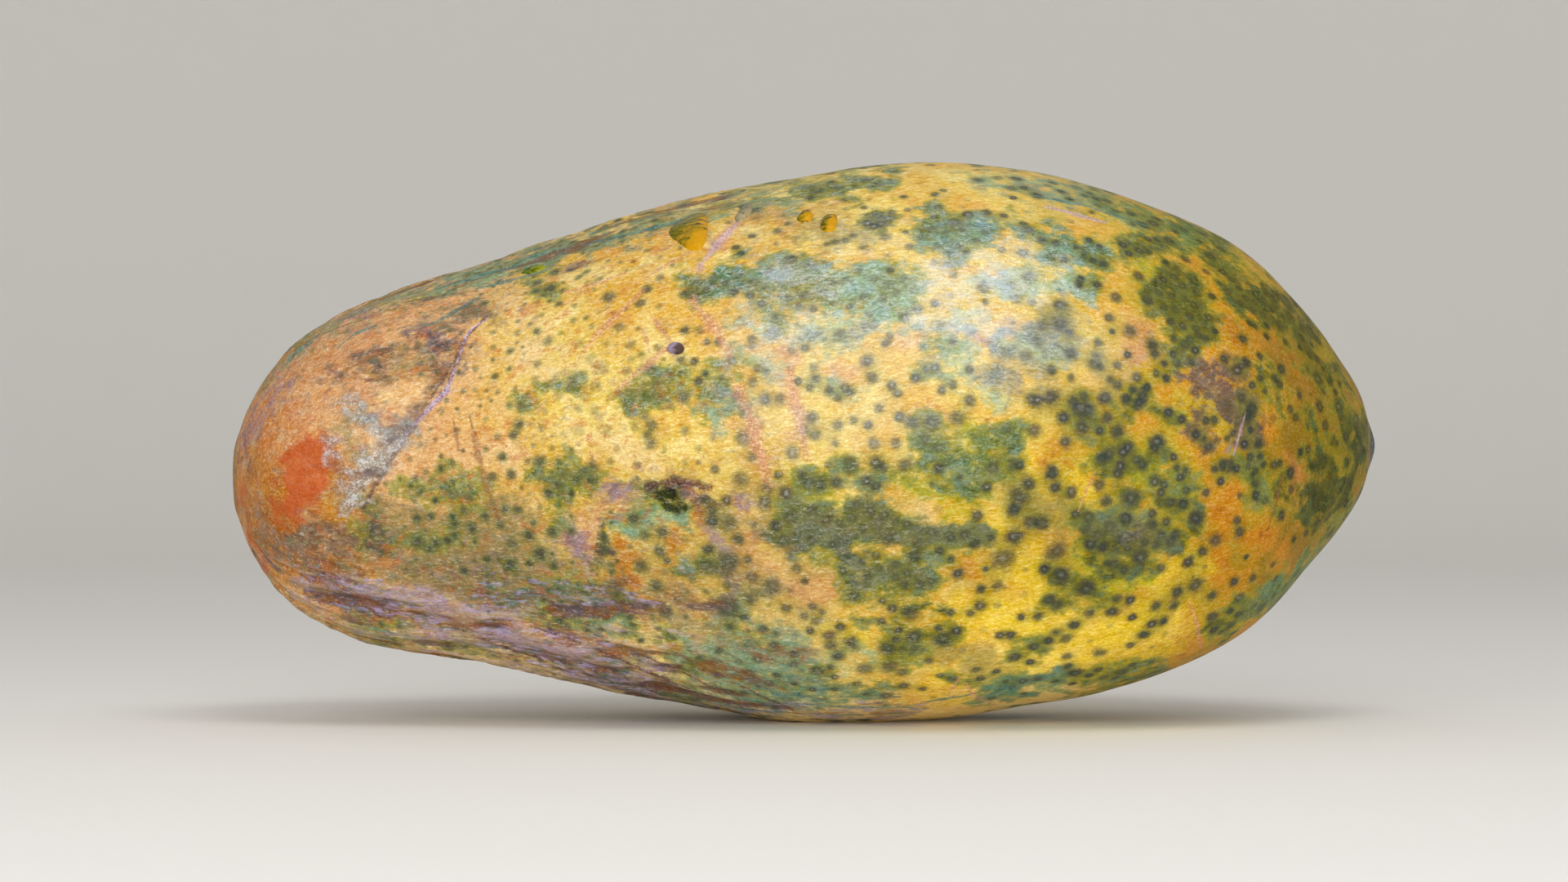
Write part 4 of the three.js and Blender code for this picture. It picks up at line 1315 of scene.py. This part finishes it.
def paint_patch_layers(s, colour, looks):
    """The patches, each in two colours. The green ones have a fringe, and show the ground in their gaps."""
    veil = s.noise(8, 3, stretch=1.2, flow=True, shift=47, roughness=0.6)
    clump = s.noise(1.9, 2, stretch=1.2, flow=True, shift=71)
    for kind, (first, second, *edge) in looks.items():
        noisy, share = patch_share(s, kind, *edge)
        inner = s.blend(s.mottle, -0.12, 0.12, first, second)
        if kind in FRINGED:
            colour = s.cover(colour, "9C9A24", 0.7, noisy, 0.06, 0.5)
            inner = fringed_colour(s, inner, FRINGED[kind], veil)
            gaps = s.between(s.total(clump, (s.along, 0.5)), 0.02, 0.22, 0.35, 1.0)
            share = s.times(share, s.between(veil, -0.2, 0.0, 0.76, 1.0), gaps)
        colour = s.mix(share, colour, inner)
    return colour


def paint_speck_layers(s, colour):
    """Dark soft discs, on the belly with a small pale heart, each on an olive halo."""
    colour = s.cover(colour, "787626", 0.6, s.halo, 0.15, 1.2)
    clear = s.times(s.between(s.along, 0.55, 0.75, 0.8, 0.4), s.between(s.mottle, -0.10, 0.14, 0.1, 1.0))
    inside = s.most(s.level("green"), s.level("grey"), s.level("dark"))
    faint = s.between(inside, 0.4, 0.9, 1.0, 0.6)
    belly = s.between(s.along, 0.30, 0.50)
    spread = s.between(s.along, 0.30, 0.50, 0.75, 1.0)
    for name in ("speck_b", "speck_a"):
        away = s.vmath("SUBTRACT", s.coordinates, s.vector(name))
        gap = s.math("DIVIDE", s.vmath("LENGTH", away), s.level(name + "_radius"))
        reach = s.times(s.total(gap, (s.ragged, 1.8), (s.stipple, 0.4)), spread)
        tone = s.times(s.level(name + "_tone"), faint)
        disc = s.times(s.between(reach, 1.6, 0.4), tone)
        on_belly = s.blend(s.mottle, -0.1, 0.1, "2C3A38", "34343A")
        dark = s.mix(belly, s.blend(reach, 0.7, 0.3, "5A6640", "42443A"), on_belly)
        heart = s.times(s.between(reach, 0.40, 0.06), clear, belly)
        colour = s.mix(s.times(disc, 0.92), colour, s.mix(heart, dark, "9CA4A0"))
    return colour


LINE_LOOKS = {  # a light colour, a deep one and the strength
    "sea": ("6A9484", "3E6A6A", 0.8),
    "furrow": ("7A5048", "4E3230", 0.8),
    "pink": ("E0AC8C", "BC7A60", 0.6),
    "rust": ("A06A3C", "7C5434", 0.6),
    "crease": ("C8BAD8", "8A7296", 0.9),
    "white": ("D0B4C6", "B08C9E", 0.7),
}
THINNEST = 1e-6  # metres: stands in for the width where there is no line


def paint_line_layers(s, colour):
    """Healed scratches and the crease."""
    for kind, (light, deep, strength) in LINE_LOOKS.items():
        away = s.vmath("SUBTRACT", s.coordinates, s.vector(kind + "_point"))
        way = s.vector(kind + "_way")
        share = s.vmath("DOT_PRODUCT", away, way)
        forward = s.add("VectorMath", {0: way, "Scale": share}, operation="SCALE").outputs[0]
        across = s.vmath("LENGTH", s.vmath("SUBTRACT", away, forward))
        reach = s.math("DIVIDE", across, s.most(s.level(kind + "_width"), THINNEST))
        reach = s.total(reach, (s.ragged, 3.4), (s.stipple, 1.6))
        tone = s.blend(s.total(s.stipple, s.ragged), -0.1, 0.1, deep, light)
        colour = s.cover(colour, tone, strength, reach, 2.0, 0.2)
    return colour


def paint_flecks(s, colour):
    """Small grey-green and rusty flecks between the specks, where the skin is mottled."""
    flecks = s.noise(1.5, 4, stretch=1.4, flow=True, shift=53, roughness=0.65, distortion=0.3)
    crowd = s.total((s.level("flecked"), 0.16), (s.level("olive"), 0.06), (s.mottle, 0.3), -0.07)
    crowd = s.math("ADD", crowd, s.between(s.along, 0.6, 0.75, 0.0, -0.06))
    colour = s.cover(colour, "6E7850", 0.45, s.total(flecks, crowd), 0.08, 0.24)
    return s.cover(colour, "AC7A50", 0.45, s.total((flecks, -1.0), (crowd, 0.9)), 0.09, 0.26)


def paint_blotches(s, colour):
    """Rusty and greyish blotches on the neck, and olive ones along its top and underneath."""
    blotch = s.noise(3.4, 5, stretch=1.4, flow=True, shift=61, roughness=0.62, distortion=0.6)
    top = s.between(s.upness, 0.70, 0.95, 0.0, 0.16)
    edge = s.math("ADD", top, s.between(s.upness, -0.20, -0.50, 0.0, 0.12))
    neck = s.between(s.along, 0.30, 0.62, 1.0, 0.0)
    green = s.between(s.total(blotch, edge), 0.12, 0.26, 0.0, 0.62)
    colour = s.mix(s.times(green, neck), colour, "767A54")
    rusty = s.between(blotch, -0.02, -0.18, 0.0, 0.55)
    colour = s.mix(s.times(rusty, neck), colour, "C4703A")
    cloud = s.noise(4.2, 4, shift=67, roughness=0.64)
    greyish = s.between(s.total(cloud, (edge, 0.4)), 0.06, 0.2, 0.0, 0.5)
    return s.mix(s.times(greyish, neck), colour, "A08C7C")


def paint_streaks(s, colour):
    """Streaks along the fruit in the streaky bands: purple, rusty and lilac low down, greener higher up."""
    second = s.noise(2.2, 4, stretch=5.0, flow=True, shift=37, roughness=0.6, distortion=0.8)
    lift = s.between(s.total(s.level("streaky"), (s.ragged, 0.8)), 0.0, 0.7, -0.23, 0.10)
    low = s.between(s.upness, 0.15, -0.2)
    belly = s.between(s.along, 0.5, 0.65)
    deep = s.mix(low, "4C6432", "644650")
    colour = s.cover(colour, deep, 0.72, s.total(s.streak, lift), 0.05, 0.22)
    cold = s.mix(low, s.mix(belly, "5E8A72", "45602C"), "4C6A66")
    colour = s.cover(colour, cold, 0.72, s.total((s.streak, -1.0), lift), 0.05, 0.22)
    warm = s.mix(low, "A8962A", "B06834")
    colour = s.cover(colour, warm, 0.55, s.total(second, (lift, 0.8)), 0.08, 0.25)
    pale = s.mix(low, "8C9C6C", "B4A0C8")
    return s.cover(colour, pale, 0.66, s.total((second, -1.0), lift), 0.09, 0.22)


def paint_folds(s, colour):
    """The crests of the wrinkles get a pale lilac or tan painted highlight, and their hollows a dark purple
    or brown painted shade.
    """
    crest = s.total(s.level("crest"), (s.ragged, 0.5))
    # Painted highlight on the crests.
    colour = s.cover(colour, s.blend(s.mottle, -0.08, 0.08, "C4A8B4", "D0B48C"), 0.46, crest, 0.18, 0.50)
    # Painted shade in the hollows.
    return s.cover(colour, s.blend(s.mottle, -0.08, 0.08, "5A4852", "805028"), 0.76, crest, -0.06, -0.34)


def paint_sheen(s, colour):
    """A painted sheen over everything, milky, fibrous and thin, and a faint painted haze of sheen round it.
    """
    threads = s.noise(0.9, 4, stretch=3.0, flow=True, shift=59, roughness=0.65, distortion=0.5)
    painted_sheen_colour = s.blend(s.mottle, -0.05, 0.15, "E2E2D0", "CAD6DE")
    # The painted haze: a faint milky sheen painted round the painted sheen.
    painted_haze = s.total(s.level("painted_haze"), (s.mottle, 0.8), threads)
    colour = s.cover(colour, painted_sheen_colour, 0.2, painted_haze, 0.2, 1.1)
    # The painted sheen: a milky highlight painted over all the other layers.
    painted_sheen = s.total(s.level("painted_sheen"), (s.mottle, 0.8), threads, (s.stipple, 0.5))
    return s.cover(colour, painted_sheen_colour, 0.62, painted_sheen, 0.2, 1.1)


def paint_weave(s, colour):
    """A fine tangle of pale fibres with dark gaps, plainest in the green, grey and hazy patches. The pale
    fibres are painted glints, stronger where the skin faces up.
    """
    patches = s.most(s.level("green"), s.level("grey"), s.level("haze"))
    inside = s.times(patches, s.between(s.mottle, -0.15, 0.1, 0.5, 1.0))
    tangle = s.noise(2.2, 3, stretch=1.6, flow=True, shift=79, roughness=0.6, distortion=1.2)
    ridge = s.math("ABSOLUTE", tangle)
    share = s.between(inside, 0.2, 0.7, 0.16, 0.58)
    # Painted glints: the pale fibres are stronger where the skin faces up.
    painted_glint = s.times(share, s.between(s.upness, -0.1, 0.55, 0.22, 0.9))
    colour = s.mix(s.times(s.between(ridge, 0.05, 0.0), painted_glint), colour, "C8D6D8")
    gap = s.blend(inside, 0.2, 0.6, "B8780C", "37481C")
    return s.mix(s.times(s.between(ridge, 0.07, 0.17), share), colour, gap)


def paint_scuffs(s, colour):
    """Dusty grey scuffs."""
    share = patch_share(s, "scuff", *SCUFF_EDGE)[1]
    dust = s.blend(s.total(s.stipple, (s.ragged, 0.8)), -0.05, 0.14, "928E84", "C8CBCE")
    return s.mix(share, colour, dust)


def deepen_far_end(s, colour):
    """The far end is a deeper yellow, most of all on its top."""
    colour = s.mix(s.between(s.along, 0.84, 0.95), colour, "F4EAA8", "MULTIPLY")
    top = s.times(s.between(s.upness, 0.30, 0.65), s.between(s.along, 0.72, 0.86))
    return s.mix(top, colour, "FCF2A0", "MULTIPLY")


def paint_fibres(s, colour):
    """Fine pale fibres that run along the fruit, with darker gaps. Painted light from below makes the
    underside brighter.
    """
    thread = s.total(s.fibre, (s.stipple, 0.3))
    pale = s.times(s.between(thread, 0.02, 0.24, 0.0, 0.2), s.between(s.along, 0.5, 0.75, 1.0, 0.1))
    colour = s.mix(pale, colour, "F2E8DC")
    # Painted light from below: the value of the colour is raised on the underside.
    lift = s.between(s.upness, -0.40, -0.92, 0.0, 0.36)
    lift = s.times(lift, s.between(s.along, 0.70, 0.86, 1.0, 0.4), s.between(s.along, 0.12, 0.42, 0.3, 1.0))
    value = s.total((s.fibre, 1.05), (s.stipple, 0.3), 0.985)
    inputs = {
        "Hue": s.total((s.fibre, 0.06), 0.5),
        "Saturation": s.total((s.fibre, -0.5), (s.stipple, -0.25), 1.0),
        "Value": s.times(value, s.math("ADD", lift, 1.0)),
        "Color": colour,
    }
    return s.add("HueSaturation", inputs).outputs[0]


def paint_ends(s, colour):
    """The cut stem's woody scar and the blossom end's small grey one."""
    gap = s.total(s.level("axis_gap"), (s.ragged, 3.0))
    stem = s.times(s.between(gap, 9.5, 7.0), s.between(s.along, 0.06, 0.04))
    rings = s.noise(1.6, 3, shift=41, roughness=0.7)
    wood = s.blend(s.total(rings, s.stipple), -0.15, 0.15, "6A5238", "A88C64")
    wood = s.mix(s.between(gap, 4.6, 3.4), wood, "8A7A5A")
    colour = s.mix(stem, colour, wood)
    rim = s.times(s.between(gap, 13.5, 9.5), s.between(s.along, 0.06, 0.03))
    colour = s.mix(s.times(s.math("SUBTRACT", rim, stem), 0.7), colour, "8C7A3E")
    blossom = s.times(s.between(gap, 7.6, 5.0), s.between(s.along, 0.955, 0.975))
    crust = s.blend(s.total(s.mottle, s.stipple), -0.1, 0.12, "2E3626", "707C80")
    return s.mix(blossom, colour, crust)


def skin_colour(s):
    """The layers of the skin's colour, from the ground up."""
    colour = ground_colour(s)
    colour = paint_patch_layers(s, colour, LOOKS)
    colour = paint_weave(s, colour)
    colour = paint_flecks(s, colour)
    colour = paint_blotches(s, colour)
    colour = paint_streaks(s, colour)
    colour = paint_patch_layers(s, colour, LATE_LOOKS)
    colour = paint_speck_layers(s, colour)
    colour = paint_line_layers(s, colour)
    colour = paint_scuffs(s, colour)
    colour = deepen_far_end(s, colour)
    colour = paint_folds(s, colour)
    colour = paint_sheen(s, colour)
    colour = paint_fibres(s, colour)
    return paint_ends(s, colour)


def skin_material():
    s = SkinShader("papaya_skin")
    neck = s.math("SUBTRACT", 1.0, s.between(s.along, 0.30, 0.60))
    wavy = s.times(s.total((s.ragged, 0.5), (s.mottle, 1.2), (s.streak, 0.6)), neck)
    height = s.total((s.fibre, 0.10), (s.mottle, 0.10), (s.stipple, 0.04), (wavy, 0.8))
    inputs = {
        "Base Color": skin_colour(s),
        "Roughness": s.between(s.total(s.mottle, (s.ragged, 0.5)), -0.2, 0.2, 0.40, 0.56),
        "Normal": s.bump(height, MM),
        "Specular IOR Level": 0.09,
        "Coat Weight": 0.04,
        "Coat Roughness": 0.35,
    }
    return s.finish(inputs)


def gum_material(name, main, darker, gloss):
    """Dried sap, or, with little gloss, the knob: cloudy, with nearly black streaks, painted shade on the
    upper-left side of a drop and a painted highlight there on the knob.
    """
    s = Shader(name)
    painted_side_light = s.level("painted_side_light")
    cloud = s.noise(3.0, 3, shift=5, distortion=0.8)
    streak = s.noise(0.9, 3, stretch=3.0, shift=9, distortion=1.0)
    # Painted light across the piece: painted shade at the upper left of a drop, a painted highlight there
    # on the knob.
    colour = s.blend(s.total((cloud, 0.8), (painted_side_light, 0.7), (streak, 0.9)), -0.35, 0.25, main, darker)
    colour = s.cover(colour, "24280A", 0.75 * gloss, s.total(streak, (painted_side_light, 0.12)), 0.06, 0.16)
    inputs = {
        "Base Color": colour,
        "Roughness": 0.5 - 0.3 * gloss,
        "Normal": s.bump(cloud, 0.4 * MM),
        "Specular IOR Level": 0.12,
        "Coat Weight": 0.04 * gloss,
    }
    return s.finish(inputs)


def add_object(name, data):
    """Puts a mesh, lamp or camera into the scene."""
    thing = bpy.data.objects.new(name, data)
    bpy.context.scene.collection.objects.link(thing)
    return thing


def new_piece(name, vertices, faces):
    """A smooth mesh object from points in millimetres."""
    mesh = bpy.data.meshes.new(name)
    mesh.from_pydata((np.asarray(vertices) * MM).tolist(), [], faces)
    mesh.update()
    mesh.shade_smooth()
    piece = add_object(name, mesh)
    bpy.context.view_layer.update()
    return piece


def unwrap(mesh):
    """One strip round the fruit: u goes around it and v from the stem end to the blossom end."""
    layer = mesh.uv_layers.new(name="OFBake")
    last = (RINGS - 1) * SIDES + 1
    for face in mesh.polygons:
        sides = [((v - 1) % SIDES if 0 < v < last else None) for v in face.vertices]
        known = [side for side in sides if side is not None]
        wraps = max(known) - min(known) > SIDES / 2
        for loop, vertex, side in zip(face.loop_indices, face.vertices, sides):
            if side is None:
                side = sum(known) / len(known) if not wraps else SIDES - 0.5
            elif wraps and side < SIDES / 2:
                side += SIDES
            ring = 0 if vertex == 0 else RINGS if vertex == last else 1 + (vertex - 1) // SIDES
            layer.data[loop].uv = (side / SIDES, ring / RINGS)


def make_skin():
    points, normal, around, wrinkles = skin_points()
    skin = new_piece("papaya_skin", points, skin_faces())
    mesh = skin.data
    along = np.clip(points[:, 0] + REST_ALONG, 0, LENGTH)
    sight = CAMERA - points
    facing = (sight * normal).sum(1) / np.linalg.norm(sight, axis=1)
    unwrap(mesh)
    paint_flow(mesh, points, along, around)
    set_attribute(mesh, "crest", wrinkles)
    crowd = paint_patches(mesh, points, facing)
    field = SpeckField()
    seen_specks(skin, field)
    random_specks(points, along, facing, crowd, field)
    paint_specks(mesh, points, field)
    for kind, lines in LINES.items():
        paint_lines(skin, kind, lines)
    mesh.materials.append(skin_material())
    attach(skin, "root")
    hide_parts("papaya")
    return skin


def make_blob(skin, name, outline, height, material):
    """A low dome stuck on the skin, with its outline given in pixels of the picture."""
    outline = np.asarray(outline, float)
    centre = outline.mean(0)
    corners = np.arange(len(outline) + 1)
    closed = np.vstack([outline, outline[:1]])
    turns = np.linspace(0, len(outline), BLOB_SIDES, endpoint=False)
    edge = np.stack([np.interp(turns, corners, closed[:, axis]) for axis in (0, 1)], axis=-1)
    edge = sum(np.roll(edge, shift, axis=0) for shift in BLOB_SMOOTHING) / len(BLOB_SMOOTHING)
    ahead = np.roll(edge, -1, axis=0)
    if (edge[:, 0] * ahead[:, 1] - ahead[:, 0] * edge[:, 1]).sum() < 0:
        edge = edge[::-1]
    vertices = [centre]
    lifts = [height]
    for ring in range(1, BLOB_RINGS + 1):
        share = ring / BLOB_RINGS
        vertices.extend(centre + share * (edge - centre))
        lift = height * (1 - share ** BLOB_CROWN[0]) ** BLOB_CROWN[1] - BLOB_SINK * share
        lifts.extend([lift] * BLOB_SIDES)
    hits = [cast(skin, pixel) for pixel in vertices]
    places = [place + normal * lift for (place, normal), lift in zip(hits, lifts)]
    blob = new_piece(name, places, disc_faces(BLOB_RINGS, BLOB_SIDES))
    span = np.array(vertices) - centre
    # The side of the painted light and shade: positive towards the upper left.
    set_attribute(blob.data, "painted_side_light", -(span @ np.array(BLOB_PAINTED_LIGHT_WAY)) / np.abs(span).max())
    blob.data.materials.append(material)
    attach(blob, "root")


def make_blobs(skin):
    materials = {kind: gum_material(*look) for kind, look in GUMS.items()}
    for name, (kind, height, outline) in BLOBS.items():
        make_blob(skin, name, outline, height, materials[kind])


def make_stage():
    """A pale round dish: a floor that curves up into a wall on every side."""
    profile = [(STAGE["floor_radius"], 0.0)]
    for step in range(1, STAGE["bends"] + 1):
        bend = math.radians(90 * step / STAGE["bends"])
        out = STAGE["floor_radius"] + STAGE["curve"] * math.sin(bend)
        profile.append((out, STAGE["curve"] * (1 - math.cos(bend))))
    profile.append((STAGE["floor_radius"] + STAGE["curve"], STAGE["wall_top"]))
    vertices = [(0.0, 0.0, 0.0)]
    for radius, height in profile:
        for side in range(STAGE["sides"]):
            angle = 2 * math.pi * side / STAGE["sides"]
            vertices.append((radius * math.cos(angle), radius * math.sin(angle), height))
    faces = [face[::-1] for face in disc_faces(len(profile), STAGE["sides"])]
    floor = new_piece("floor", vertices, faces)
    floor.data.materials.append(Shader("pale_floor").finish({"Base Color": "F2F0EC", "Roughness": 0.9}))


def make_lights():
    """Soft white area lights that the camera doesn't see, and a white sky."""
    for name, (place, size, power) in LIGHTS.items():
        lamp = bpy.data.lights.new(name, "AREA")
        lamp.shape = "RECTANGLE"
        lamp.size, lamp.size_y = size
        lamp.energy = power
        holder = add_object(name, lamp)
        holder.location = place
        holder.rotation_euler = (Vector(LIGHT_AIM) - Vector(place)).to_track_quat("-Z", "Y").to_euler()
        holder.visible_camera = False
    world = bpy.data.worlds.new("studio")
    world.use_nodes = True
    background = world.node_tree.nodes["Background"]
    background.inputs["Color"].default_value = (1, 1, 1, 1)
    background.inputs["Strength"].default_value = SKY_STRENGTH
    bpy.context.scene.world = world


def make_camera():
    camera = bpy.data.cameras.new("camera")
    camera.lens = LENS
    camera.sensor_width = SENSOR_WIDTH
    holder = add_object("camera", camera)
    holder.location = Vector(CAMERA) * MM
    holder.rotation_euler = (math.radians(90), 0, 0)
    bpy.context.scene.camera = holder


make_camera()
make_blobs(make_skin())
make_stage()
make_lights()
bpy.context.scene.view_settings.view_transform = "Standard"
